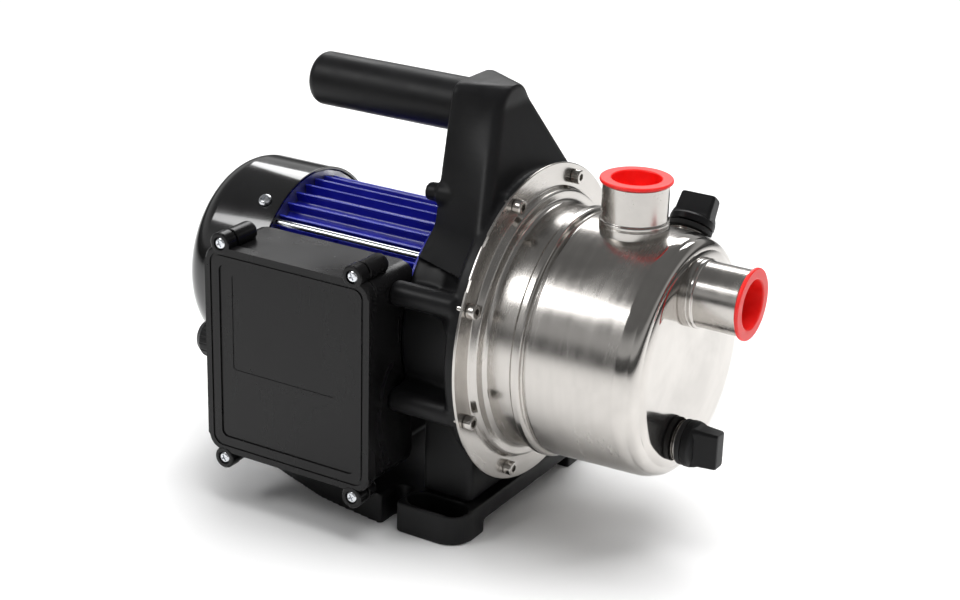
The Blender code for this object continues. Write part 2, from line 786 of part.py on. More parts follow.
def make_diffuser():
    """The diffuser cup round the impeller with the venturi tube on its front, and the nozzle."""
    rear_x = DIFFUSER_X - DIFFUSER_WALL_LENGTH
    nozzle_seat_x = DIFFUSER_TUBE_END_X
    mouth_r = NOZZLE_R + 2 * GAP
    diffuser = turned(
        "diffuser",
        [
            (DIFFUSER_TUBE_R, nozzle_seat_x),
            (DIFFUSER_TUBE_R, DIFFUSER_X + DIFFUSER_PLATE),
            (DIFFUSER_R, DIFFUSER_X + DIFFUSER_PLATE),
            (DIFFUSER_R, rear_x),
            (DIFFUSER_R - DIFFUSER_PLATE, rear_x),
            (DIFFUSER_R - DIFFUSER_PLATE, DIFFUSER_X),
            (DIFFUSER_TUBE_R - DIFFUSER_PLATE / 3, DIFFUSER_X),
            (DIFFUSER_THROAT_R, DIFFUSER_X + 2 * DIFFUSER_PLATE),
            (DIFFUSER_THROAT_R, nozzle_seat_x - NOZZLE_LENGTH - 2 * GAP),
            (mouth_r + DIFFUSER_PLATE / 2, nozzle_seat_x - 2 * GAP),
            (mouth_r + DIFFUSER_PLATE / 2, nozzle_seat_x),
        ],
        MEDIUM_STEPS,
    )
    finish(place(diffuser, rotation=ALONG_X), WET_PLASTIC)
    flange_low = nozzle_seat_x + GAP
    flange_high = flange_low + 3 * MM
    nozzle = turned(
        "jet_nozzle",
        [
            (NOZZLE_FLANGE_R, flange_high),
            (NOZZLE_FLANGE_R, flange_low),
            (NOZZLE_R, flange_low),
            (NOZZLE_MOUTH_R + 1.5 * MM, flange_low - NOZZLE_LENGTH + 3 * MM),
            (NOZZLE_MOUTH_R, flange_low - NOZZLE_LENGTH + 3 * MM),
            (NOZZLE_R - 1 * MM, flange_high),
        ],
        MEDIUM_STEPS,
    )
    finish(place(nozzle, rotation=ALONG_X), WET_PLASTIC)


# Bracket, handle and base


def column_front_width(z):
    """Half width of the column's front face: the ring's tangents up to a round top about the grip."""
    tilt = math.asin((BRACKET_RING_R - COLUMN_FRONT_R) / GRIP_Z)
    if z > GRIP_Z + COLUMN_FRONT_R * math.sin(tilt):
        return math.sqrt(max(0.0, COLUMN_FRONT_R**2 - (z - GRIP_Z) ** 2))
    return (BRACKET_RING_R - z * math.sin(tilt)) / math.cos(tilt)


def column_rear_width(z):
    """Half width of the column's rear face: a square-shouldered top on a slow taper, and a hollow
    fillet that runs into the drum."""
    corner_z = COLUMN_TOP_Z - COLUMN_CORNER_R
    if z > corner_z:
        side = COLUMN_REAR_HALF_WIDTH - COLUMN_CORNER_R
        return side + math.sqrt(max(0.0, COLUMN_CORNER_R**2 - (z - corner_z) ** 2))
    taper = COLUMN_REAR_HALF_WIDTH + COLUMN_TAPER * (corner_z - z)
    fillet_y, fillet_z = COLUMN_FILLET_CENTRE
    hollow = COLUMN_FILLET_R**2 - (z - fillet_z) ** 2
    if z > fillet_z or hollow < 0:
        return taper
    return max(taper, fillet_y - math.sqrt(hollow))


def column_row(z):
    """The column's section at one height, from the near rear corner round to the far one."""
    lean_start = BRACKET_RING_R * math.sin(math.radians(45))
    above = max(0.0, z - lean_start) / (GRIP_Z - lean_start)
    front_x = BRACKET_FRONT_X - 1 * MM - COLUMN_LEAN * min(above, 1.1)
    rear_x = BRACKET_REAR_X + 0.5 * MM
    front = max(column_front_width(z), 2 * MM)
    rear = column_rear_width(z)
    return [(rear_x, -rear, z), (front_x, -front, z), (front_x, front, z), (rear_x, rear, z)]


def make_column():
    """Stacked sections from inside the drum to the rounded top."""
    fillet_z = COLUMN_FILLET_CENTRE[1]
    root = DRUM_BORE_R * 0.6
    rows = [[(x, math.copysign(root, y), DRUM_BORE_R * 0.2) for x, y, z in column_row(fillet_z)]]
    heights = [52 * MM, 57 * MM, 62 * MM, 68 * MM, 90 * MM, 112 * MM]
    corner_z = COLUMN_TOP_Z - COLUMN_CORNER_R
    heights += [corner_z + COLUMN_CORNER_R * math.sin(math.radians(turn)) for turn in (0, 25, 45, 65, 85)]
    rows += [column_row(z) for z in heights]
    return lofted("column", rows)


def boss_outline(angle):
    """Section of a screw boss: a round outer end on a web that reaches into the drum's wall."""
    root_r = (DRUM_R + DRUM_BORE_R) / 2
    end = arc((BOSS_CIRCLE_R, 0), BOSS_R, -90, 90, 6)
    outline = [(root_r, -BOSS_R)] + end + [(root_r, BOSS_R)]
    turn = Matrix.Rotation(angle + math.pi / 2, 2)
    return [tuple(turn @ Vector(point)) for point in outline]


def make_bracket():
    """Drum with a front ring, a column up to the handle, a leg down to the base and screw bosses."""
    ring_rear_x = BRACKET_FRONT_X - BRACKET_RING_DEPTH
    drum = turned(
        "bracket",
        [
            (0, BRACKET_FRONT_X),
            (BRACKET_RING_R, BRACKET_FRONT_X),
            (BRACKET_RING_R, ring_rear_x),
            (DRUM_R, ring_rear_x - BRACKET_RING_DEPTH),
            (DRUM_R, BRACKET_REAR_X),
            (0, BRACKET_REAR_X),
        ],
        ROUND_STEPS,
        closed=False,
    )
    finish(place(drum, rotation=ALONG_X), BLACK)
    leg = box(
        "leg",
        (LEG_REAR_X, -LEG_HALF_WIDTH, BASE_TOP_Z + GAP),
        (LEG_FRONT_X, LEG_HALF_WIDTH, -DRUM_BORE_R * 0.4),
    )
    pieces = [place(make_column()), place(leg)]
    for index in range(SCREW_COUNT):
        angle = flange_angle(index)
        at_top = math.sin(angle) > math.cos(math.pi / SCREW_COUNT) - 1e-6
        low = BRACKET_REAR_X - TOP_BOSS_EXTRA if at_top else BRACKET_REAR_X + 1 * MM
        boss = extruded(f"screw_boss_{index}", [boss_outline(angle)], low, ring_rear_x + 2 * MM)
        pieces.append(place(boss, rotation=ALONG_X))
    weld_on(drum, *pieces, solver="MANIFOLD")
    bore = cylinder("bracket_bore", DRUM_BORE_R, 2 * BRACKET_REAR_X, 10 * MM, ROUND_STEPS)
    plate_seat = cylinder("plate_seat", SEAL_PLATE_R + GAP, ring_rear_x, 20 * MM, ROUND_STEPS)
    spigot_end = grip_shoulder_x() + SPIGOT_LENGTH + GAP
    spigot_hole = cylinder("spigot_hole", SPIGOT_R + GAP, 2 * BRACKET_REAR_X, spigot_end, MEDIUM_STEPS)
    cut(
        drum,
        place(bore, rotation=ALONG_X),
        place(plate_seat, rotation=ALONG_X),
        place(spigot_hole, (0, 0, GRIP_Z), ALONG_X),
        solver="MANIFOLD",
    )
    for index in range(SCREW_COUNT):
        hole = cylinder(f"screw_hole_{index}", SCREW_R + GAP, -SCREW_LENGTH - 2 * MM, 5 * MM, SMALL_STEPS)
        place(hole, on_circle(0, SCREW_CIRCLE_R, flange_angle(index)), ALONG_X)
        cut(drum, hole, solver="MANIFOLD")


def grip_shoulder_x():
    return BRACKET_REAR_X - GAP


def make_handle():
    """The grip with its spigot inside the column's socket, modelled along +X."""
    rounding = arc((GRIP_R - GRIP_ROUNDING, GRIP_END_X + GRIP_ROUNDING), GRIP_ROUNDING, 0, -90, 4)
    tip_x = grip_shoulder_x() + SPIGOT_LENGTH
    profile = [(0, tip_x), (SPIGOT_R, tip_x), (SPIGOT_R, grip_shoulder_x()), (GRIP_R, grip_shoulder_x())]
    grip = turned("handle_grip", profile + rounding + [(0, GRIP_END_X)], MEDIUM_STEPS, closed=False)
    finish(place(grip, (0, 0, GRIP_Z), ALONG_X), BLACK)


def base_outline():
    """Plan of the base, mirrored about the shaft: a wide front with round corners, an open slot on
    each side and a rear that narrows."""
    corner = (BASE_FRONT_X - BASE_CORNER_R, FOOT_HALF_WIDTH - BASE_CORNER_R)
    slot_r = SLOT_WIDTH / 2
    slot_end = BASE_SLOT_SIDE - SLOT_DEPTH + slot_r
    rear_corner = (BASE_REAR_X + BASE_CORNER_R, BASE_REAR_HALF_WIDTH - BASE_CORNER_R)
    half = (
        arc(corner, BASE_CORNER_R, 0, 90, 4)
        + [(SLOT_X + slot_r, FOOT_HALF_WIDTH)]
        + arc((SLOT_X, slot_end), slot_r, 0, -180, 6)
        + [(SLOT_X - slot_r, BASE_SLOT_SIDE), (BASE_MIDDLE_X, BASE_MIDDLE_HALF_WIDTH)]
        + arc(rear_corner, BASE_CORNER_R, 75, 180, 4)
    )
    return half + [(x, -y) for x, y in reversed(half)]


def make_base():
    base = extruded("base", [base_outline()], GROUND_Z, BASE_TOP_Z)
    finish(place(base), BLACK)
    cradle = box(
        "cradle",
        (CRADLE_REAR_X, -CRADLE_HALF_WIDTH, BASE_PLATE_Z + 2 * MM),
        (CRADLE_FRONT_X, CRADLE_HALF_WIDTH, -MOTOR_R * 0.8),
    )
    weld_on(base, place(cradle))
    motor_clear = cylinder("motor_clear", MOTOR_R + GAP, 2 * MOTOR_REAR_X, 0, 72)
    arch = box(
        "arch",
        (2 * BASE_REAR_X, -ARCH_HALF_WIDTH, 2 * GROUND_Z),
        (-BASE_FRONT_X, ARCH_HALF_WIDTH, BASE_PLATE_Z),
    )
    cut(base, place(motor_clear, rotation=ALONG_X), place(arch))
    pocket_x = (SLOT_X + SLOT_WIDTH / 2 + POCKET_WALL, BASE_FRONT_X - POCKET_WALL)
    for side in (-1, 1):
        inner = side * (LEG_HALF_WIDTH + 1 * MM)
        outer = side * (FOOT_HALF_WIDTH - POCKET_WALL)
        outline = rounded_rectangle(
            (pocket_x[0], min(inner, outer)),
            (pocket_x[1], max(inner, outer)),
            BASE_CORNER_R / 2,
        )
        pocket = extruded(f"pocket_{side + 1}", [outline], GROUND_Z + POCKET_FLOOR, 0)
        cut(base, place(pocket))


# Motor


def fin_outline():
    """The housing's finned section: each fin has a flat crest between two flanks."""
    outline = []
    pitch = 360 / FIN_COUNT
    half_crest = pitch * FIN_WIDTH / 2
    for index in range(FIN_COUNT):
        middle = pitch * index
        for offset, radius in (
            (-half_crest, MOTOR_R - FIN_HEIGHT),
            (-half_crest, MOTOR_R),
            (half_crest, MOTOR_R),
            (half_crest, MOTOR_R - FIN_HEIGHT),
        ):
            angle = math.radians(middle + offset)
            outline.append((radius * math.cos(angle), radius * math.sin(angle)))
    return outline


def make_motor_housing():
    bore = arc((0, 0), MOTOR_BORE_R, 0, 350, 35)
    housing = extruded("motor_housing", [fin_outline(), bore], MOTOR_REAR_X, MOTOR_FRONT_X)
    finish(place(housing, rotation=ALONG_X), BLUE)
    groove_r = TIE_ROD_R + TIE_ROD_GROOVE
    for index in range(4):
        groove = cylinder(f"rod_groove_{index}", groove_r, 2 * MOTOR_REAR_X, 0, SMALL_STEPS)
        cut(housing, place(groove, on_circle(0, TIE_ROD_CIRCLE_R, tie_rod_angle(index)), ALONG_X))


def tie_rod_angle(index):
    return math.radians(45 + 90 * index)


def shield_profile(length, bearing_x):
    """A cup-shaped end shield towards +X: plate, lip that seats in the housing, bearing housing."""
    plate = SHIELD_PLATE
    holder_r = BEARING_R + GAP + BEARING_HOUSING_WALL
    shaft_hole = SHAFT_R + 1 * MM
    return [
        (SHIELD_R, plate),
        (SHIELD_R, 0),
        (MOTOR_BORE_R - GAP, 0),
        (MOTOR_BORE_R - GAP, -SHIELD_LIP),
        (MOTOR_BORE_R - GAP - plate / 2, -SHIELD_LIP),
        (MOTOR_BORE_R - GAP - plate / 2, 0),
        (holder_r, 0),
        (holder_r, bearing_x - GAP),
        (BEARING_R + GAP, bearing_x - GAP),
        (BEARING_R + GAP, bearing_x + BEARING_WIDTH + GAP),
        (shaft_hole, bearing_x + BEARING_WIDTH + GAP),
        (shaft_hole, length),
        (holder_r, length),
        (holder_r, plate),
    ]


def make_shield(name, seat_x, rotation, spec):
    """End shield with its plate seated on the housing's end and holes for the tie rods."""
    bearing_x = -BEARING_WIDTH + SHIELD_PLATE - 1 * MM
    shield = turned(name, shield_profile(SHIELD_PLATE + 3 * MM, bearing_x), 28)
    finish(place(shield, (seat_x, 0, 0), rotation), spec)
    for index in range(4):
        hole = cylinder(f"{name}_hole_{index}", TIE_ROD_R + GAP, -20 * MM, 20 * MM, SMALL_STEPS)
        cut(shield, place(hole, on_circle(seat_x, TIE_ROD_CIRCLE_R, tie_rod_angle(index)), ALONG_X))
    return shield


def cover_screw_turn(index):
    """Turn that points +Z from the shaft towards a fan cover screw."""
    angle = COVER_SCREW_ANGLE + 2 * math.pi * index / COVER_SCREW_COUNT
    return (angle - math.pi / 2, 0, 0)


def add_cover_lugs(shield):
    """Lugs on the rear shield that the fan cover's screws bite into."""
    lug_top = COVER_R - COVER_WALL - GAP - 0.5 * MM
    for index in range(COVER_SCREW_COUNT):
        lug = box(
            f"cover_lug_{index}",
            (COVER_SCREW_X - 6 * MM, -LUG_HALF_WIDTH, lug_top - COVER_SCREW_LENGTH),
            (rear_shield_x() - SHIELD_PLATE / 2, LUG_HALF_WIDTH, lug_top),
        )
        weld_on(shield, place(lug, rotation=cover_screw_turn(index)))
    for index in range(COVER_SCREW_COUNT):
        hole = cylinder(f"lug_bore_{index}", 2 * MM + GAP, COVER_R - 30 * MM, COVER_R, SMALL_STEPS)
        cut(shield, place(hole, (COVER_SCREW_X, 0, 0), cover_screw_turn(index)))


def front_shield_x():
    return MOTOR_FRONT_X + GAP


def rear_shield_x():
    return MOTOR_REAR_X - GAP


def bearing_span(front):
    """Low and high x of a bearing."""
    offset = -BEARING_WIDTH + SHIELD_PLATE - 1 * MM
    if front:
        low = front_shield_x() + offset
        return low, low + BEARING_WIDTH
    high = rear_shield_x() - offset
    return high - BEARING_WIDTH, high


def make_motor_insides():
    make_shield("front_end_shield", front_shield_x(), ALONG_X, BLUE)
    add_cover_lugs(make_shield("rear_end_shield", rear_shield_x(), ALONG_MINUS_X, ALUMINIUM))
    for name, front in (("front_bearing", True), ("rear_bearing", False)):
        low, high = bearing_span(front)
        bearing = tube(name, BEARING_R, SHAFT_R + GAP, low, high, MEDIUM_STEPS)
        finish(place(bearing, rotation=ALONG_X), SHAFT_STEEL)
    stator_r = MOTOR_BORE_R - GAP
    stator = tube("stator_core", stator_r, STATOR_BORE_R, STATOR_REAR_X, STATOR_FRONT_X, MEDIUM_STEPS)
    finish(place(stator, rotation=ALONG_X), LAMINATION)
    front_low = STATOR_FRONT_X + GAP
    rear_high = STATOR_REAR_X - GAP
    for name, low in (("winding_front", front_low), ("winding_rear", rear_high - WINDING_LENGTH)):
        edge = 3 * MM
        high = low + WINDING_LENGTH
        winding = turned(
            name,
            [
                (WINDING_R - edge, high),
                (WINDING_R, high - edge),
                (WINDING_R, low + edge),
                (WINDING_R - edge, low),
                (WINDING_BORE_R + edge, low),
                (WINDING_BORE_R, low + edge),
                (WINDING_BORE_R, high - edge),
                (WINDING_BORE_R + edge, high),
            ],
            MEDIUM_STEPS,
        )
        finish(place(winding, rotation=ALONG_X), COPPER)
    core_r = STATOR_BORE_R - AIR_GAP
    core_low = STATOR_REAR_X - CORE_OVERHANG
    core_high = STATOR_FRONT_X + CORE_OVERHANG
    core = tube("rotor_core", core_r, SHAFT_R + GAP, core_low, core_high, MEDIUM_STEPS)
    finish(place(core, rotation=ALONG_X), LAMINATION)


def make_shaft():
    """One stepped shaft from the fan to the impeller nut."""
    pump_step_x = front_shield_x() + 2 * SHIELD_PLATE
    tip_x = IMPELLER_X + IMPELLER_WIDTH + 3 * MM
    shaft = turned(
        "rotor_shaft",
        [
            (0, tip_x),
            (SHAFT_PUMP_R, tip_x),
            (SHAFT_PUMP_R, pump_step_x),
            (SHAFT_R, pump_step_x),
            (SHAFT_R, SHAFT_REAR_X),
            (0, SHAFT_REAR_X),
        ],
        MEDIUM_STEPS,
        closed=False,
    )
    finish(place(shaft, rotation=ALONG_X), SHAFT_STEEL)


def make_tie_rods():
    """Long screws through both end shields, with their heads behind the rear shield."""
    rear_x = rear_shield_x() - SHIELD_PLATE - GAP
    tip_x = front_shield_x() + SHIELD_PLATE + 1 * MM
    for index in range(4):
        rod = turned(
            f"tie_rod_{index + 1}",
            [
                (0, tip_x),
                (TIE_ROD_R, tip_x),
                (TIE_ROD_R, rear_x),
                (TIE_ROD_HEAD_R, rear_x),
                (TIE_ROD_HEAD_R, rear_x - TIE_ROD_HEAD_HEIGHT),
                (0, rear_x - TIE_ROD_HEAD_HEIGHT),
            ],
            12,
            closed=False,
        )
        finish(place(rod, on_circle(0, TIE_ROD_CIRCLE_R, tie_rod_angle(index)), ALONG_X), ZINC)


def make_fan():
    """Radial cooling fan: a hub, a disc and straight blades towards the cover."""
    shaft_clear = SHAFT_R + GAP
    fan = turned(
        "cooling_fan",
        [
            (FAN_HUB_R, FAN_X + FAN_BLADE_DEPTH / 2),
            (FAN_HUB_R, FAN_X + FAN_DISC),
            (FAN_R, FAN_X + FAN_DISC),
            (FAN_R, FAN_X),
            (FAN_HUB_R, FAN_X),
            (FAN_HUB_R, FAN_X - FAN_BLADE_DEPTH / 2),
            (shaft_clear, FAN_X - FAN_BLADE_DEPTH / 2),
            (shaft_clear, FAN_X + FAN_BLADE_DEPTH / 2),
        ],
        MEDIUM_STEPS,
    )
    finish(place(fan, rotation=ALONG_X), WET_PLASTIC)
    for index in range(FAN_BLADES):
        blade = box(
            f"fan_blade_{index}",
            (FAN_X - FAN_BLADE_DEPTH, -FAN_BLADE_THICKNESS / 2, FAN_HUB_R - 2 * MM),
            (FAN_X + FAN_DISC / 2, FAN_BLADE_THICKNESS / 2, FAN_R - 1 * MM),
        )
        weld_on(fan, place(blade, rotation=(2 * math.pi * index / FAN_BLADES, 0, 0)))


def cover_side(inset):
    """Half profile of the fan cover from its open front rim to the middle of its rear: (radius, x)."""
    centre = (COVER_R - COVER_ROUNDING, COVER_REAR_X + COVER_ROUNDING)
    rounding = arc(centre, COVER_ROUNDING - inset, 0, -90, 4)
    return [(COVER_R - inset, COVER_FRONT_X)] + rounding + [(0, COVER_REAR_X + inset)]


def make_fan_cover():
    outside = cover_side(0)
    inside = cover_side(COVER_WALL)
    # The profile runs down the outer side to the axis and back up the inner side to the rim.
    cover = turned("fan_cover", outside + inside[::-1], ROUND_STEPS)
    finish(place(cover, rotation=ALONG_X), GLOSS_BLACK)
    for index in range(COVER_VENT_COUNT):
        z = (index - (COVER_VENT_COUNT - 1) / 2) * COVER_VENT_PITCH
        half_length = math.sqrt(max(COVER_VENT_HALF_LENGTH**2 - z**2, (8 * MM) ** 2))
        vent = box(
            f"cover_vent_{index}",
            (2 * COVER_REAR_X, -half_length, z - COVER_VENT_WIDTH / 2),
            (COVER_REAR_X + COVER_WALL * 2, half_length, z + COVER_VENT_WIDTH / 2),
        )
        cut(cover, place(vent))
    for index in range(COVER_SCREW_COUNT):
        rotation = cover_screw_turn(index)
        low, high = COVER_R - COVER_SCREW_LENGTH, COVER_R + COVER_SCREW_LENGTH
        hole = cylinder(f"cover_hole_{index}", 2 * MM + GAP, low, high, SMALL_STEPS)
        cut(cover, place(hole, (COVER_SCREW_X, 0, 0), rotation))
        screw = turned(
            f"fan_cover_screw_{index + 1}",
            [
                (0, COVER_R + 3 * MM),
                (2.5 * MM, COVER_R + 3 * MM),
                (4 * MM, COVER_R + 1.2 * MM),
                (4 * MM, COVER_R + GAP),
                (2 * MM, COVER_R + GAP),
                (2 * MM, COVER_R - COVER_SCREW_LENGTH),
                (0, COVER_R - COVER_SCREW_LENGTH),
            ],
            SMALL_STEPS,
            closed=False,
        )
        finish(place(screw, (COVER_SCREW_X, 0, 0), rotation), ZINC)


# Terminal box


def box_outline(margin):
    """The box's outline seen from its lid, grown by margin: (x, z)."""
    low = (BOX_REAR_X - margin, BOX_BOTTOM_Z - margin)
    high = (BOX_FRONT_X + margin, BOX_TOP_Z + margin)
    return rounded_rectangle(low, high, BOX_CORNER_R + margin)


def lid_screw_spots():
    left = BOX_REAR_X + LID_SCREW_INSET_X
    right = BOX_FRONT_X - LID_SCREW_INSET_X
    top = BOX_TOP_Z + LID_SCREW_ABOVE
    bottom = BOX_BOTTOM_Z - LID_SCREW_BELOW
    return [(left, top), (right, top), (right, bottom), (left, bottom)]


def lid_screw_seat():
    """Distance of the lid screws' head seats in front of the shaft."""
    return -BOX_LID_Y - LID_SCREW_RECESS


def from_lid(name, outlines, low_y, high_y):
    """Outlines in (x, z) extruded along Y from low_y to high_y."""
    return place(extruded(name, outlines, -high_y, -low_y), rotation=ALONG_MINUS_Y)


def make_terminal_box():
    rim_y = BOX_RIM_Y
    body = from_lid("terminal_box", [box_outline(0)], rim_y, BOX_BACK_Y)
    finish(body, BOX_BLACK)
    lugs = []
    for index, (x, z) in enumerate(lid_screw_spots()):
        back_y = UPPER_LUG_BACK_Y if z > 0 else LOWER_LUG_BACK_Y
        lug = cylinder(f"box_lug_{index}", LUG_R, -back_y, -rim_y, SMALL_STEPS)
        lugs.append(place(lug, (x, 0, z), ALONG_MINUS_Y))
    weld_on(body, *lugs)
    hollow = from_lid("box_hollow", [box_outline(-BOX_WALL)], 2 * BOX_LID_Y, BOX_BACK_Y - BOX_WALL)
    clear_r = max(MOTOR_R, SHIELD_R) + GAP
    motor_clear = turned(
        "box_motor_clear",
        [
            (0, 0),
            (DRUM_R + GAP, 0),
            (DRUM_R + GAP, BRACKET_REAR_X - GAP),
            (clear_r, BRACKET_REAR_X - GAP),
            (clear_r, COVER_FRONT_X + GAP),
            (COVER_R + GAP, COVER_FRONT_X + GAP),
            (COVER_R + GAP, 2 * MOTOR_REAR_X),
            (0, 2 * MOTOR_REAR_X),
        ],
        2 * ROUND_STEPS,
        closed=False,
    )
    gland_clear = GLAND_R * 0.6 + GAP
    gland_hole = cylinder("gland_hole", gland_clear, BOX_REAR_X - 5 * MM, BOX_REAR_X + 8 * MM, MEDIUM_STEPS)
    cut(
        body,
        hollow,
        place(motor_clear, rotation=ALONG_X),
        place(gland_hole, (0, GLAND_Y, GLAND_Z), ALONG_X),
    )
    tip = lid_screw_seat() - LID_SCREW_LENGTH
    for index, (x, z) in enumerate(lid_screw_spots()):
        hole = cylinder(f"lug_hole_{index}", LID_SCREW_R + GAP, tip - 1 * MM, -2 * rim_y, SMALL_STEPS)
        cut(body, place(hole, (x, 0, z), ALONG_MINUS_Y))


def lid_back_y():
    return BOX_RIM_Y - GASKET_THICKNESS - 2 * GASKET_SQUEEZE_GAP


def make_lid():
    gasket_y = BOX_RIM_Y - GASKET_SQUEEZE_GAP
    gasket = from_lid(
        "lid_gasket",
        [box_outline(-0.3 * MM), box_outline(-BOX_WALL)],
        gasket_y - GASKET_THICKNESS,
        gasket_y,
    )
    finish(gasket, RUBBER)
    lid = from_lid("terminal_box_lid", [box_outline(LID_OVERHANG)], BOX_LID_Y, lid_back_y())
    finish(lid, BOX_BLACK)
    lugs = []
    lug_face = -BOX_LID_Y - 0.5 * MM
    for index, (x, z) in enumerate(lid_screw_spots()):
        lug = cylinder(f"lid_lug_{index}", LUG_R + 0.5 * MM, -lid_back_y(), lug_face, SMALL_STEPS)
        lugs.append(place(lug, (x, 0, z), ALONG_MINUS_Y))
    weld_on(lid, *lugs)
    head_low = lid_screw_seat()
    for index, (x, z) in enumerate(lid_screw_spots()):
        hole = turned(
            f"lid_hole_{index}",
            [
                (0, -2 * BOX_LID_Y),
                (LID_SCREW_HEAD_R + GAP, -2 * BOX_LID_Y),
                (LID_SCREW_HEAD_R + GAP, head_low),
                (LID_SCREW_R + GAP, head_low),
                (LID_SCREW_R + GAP, 0),
                (0, 0),
            ],
            SMALL_STEPS,
            closed=False,
        )
        cut(lid, place(hole, (x, 0, z), ALONG_MINUS_Y))
        screw = turned(
            f"lid_screw_{index + 1}",
            [
                (0, head_low + 1.8 * MM),
                (LID_SCREW_HEAD_R - 1 * MM, head_low + 1.8 * MM),
                (LID_SCREW_HEAD_R, head_low + 1 * MM),
                (LID_SCREW_HEAD_R, head_low + GAP),
                (LID_SCREW_R, head_low + GAP),
                (LID_SCREW_R, head_low - LID_SCREW_LENGTH),
                (0, head_low - LID_SCREW_LENGTH),
            ],
            12,
            closed=False,
        )
        finish(place(screw, (x, 0, z), ALONG_MINUS_Y), ZINC)


def make_gland():
    """Cable gland in the box's rear wall with its clamping nut, modelled along -X."""
    outside = -BOX_REAR_X + GAP
    body = turned(
        "cable_gland",
        [
            (GLAND_R * 0.7, outside + GLAND_BODY_LENGTH + GLAND_NUT_LENGTH - 4 * MM),
            (GLAND_R * 0.7, outside + GLAND_BODY_LENGTH),
            (GLAND_R, outside + GLAND_BODY_LENGTH),
            (GLAND_R, outside),
            (GLAND_R * 0.6, outside),
            (GLAND_R * 0.6, outside - BOX_WALL - 3 * MM),
            (GLAND_BORE_R, outside - BOX_WALL - 3 * MM),
            (GLAND_BORE_R, outside + GLAND_BODY_LENGTH + GLAND_NUT_LENGTH - 4 * MM),
        ],
        MEDIUM_STEPS,
    )
    finish(place(body, (0, GLAND_Y, GLAND_Z), ALONG_MINUS_X), BLACK)
    nut_low = outside + GLAND_BODY_LENGTH + GAP
    nut_high = nut_low + GLAND_NUT_LENGTH
    nut = turned(
        "gland_nut",
        [
            (GLAND_R - 4 * MM, nut_high),
            (GLAND_R - 1 * MM, nut_high - 4 * MM),
            (GLAND_R - 1 * MM, nut_low),
            (GLAND_R * 0.7 + GAP, nut_low),
            (GLAND_R * 0.7 + GAP, nut_high - 3 * MM),
            (GLAND_BORE_R, nut_high - 3 * MM),
            (GLAND_BORE_R, nut_high),
        ],
        MEDIUM_STEPS,
    )
    finish(place(nut, (0, GLAND_Y, GLAND_Z), ALONG_MINUS_X), BLACK)


def make_electrics():
    """Run capacitor and terminal block inside the box."""
    inside_y = BOX_RIM_Y + CAPACITOR_R + 1 * MM
    capacitor_z = BOX_BOTTOM_Z + BOX_WALL + CAPACITOR_R + 3 * MM
    middle_x = (BOX_REAR_X + BOX_FRONT_X) / 2
    low = middle_x - CAPACITOR_LENGTH / 2
    capacitor = cylinder("run_capacitor", CAPACITOR_R, low, low + CAPACITOR_LENGTH, MEDIUM_STEPS, 1.5 * MM)
    finish(place(capacitor, (0, inside_y, capacitor_z), ALONG_X), CREAM)
    block = box(
        "terminal_block",
        (middle_x - 18 * MM, BOX_RIM_Y + 4 * MM, 14 * MM),
        (middle_x + 18 * MM, BOX_RIM_Y + 16 * MM, 28 * MM),
        1 * MM,
        1,
    )
    finish(place(block), CREAM)


def main():
    global parts, cutters, root
    clear_scene()
    parts = new_collection("jet_pump")
    cutters = new_collection("cutters")
    root = bpy.data.objects.new("jet_pump_frame", None)
    parts.objects.link(root)
    root.location = -FRAME_ORIGIN
    make_casing()
    make_ports()
    make_plug_set("priming", priming_seat(), 1 * MM)
    make_plug_set("drain", drain_seat(), 0)
    make_flange_screws()
    make_seal_plate()
    make_casing_seal()
    make_wet_rotor()
    make_diffuser()
    make_bracket()
    make_handle()
    make_base()
    make_motor_housing()
    make_motor_insides()
    make_shaft()
    make_tie_rods()
    make_fan()
    make_fan_cover()
    make_terminal_box()
    make_lid()
    make_gland()
    make_electrics()


main()
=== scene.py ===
"""Looks of the shallow well jet pump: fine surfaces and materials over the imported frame.

Lengths below are in millimetres in the design frame: the origin is on the shaft axis at the front
face of the casing flange, +X runs towards the suction port, and the terminal box stands at -Y."""

import json
import math

import bmesh
import bpy
from mathutils import Matrix, Vector

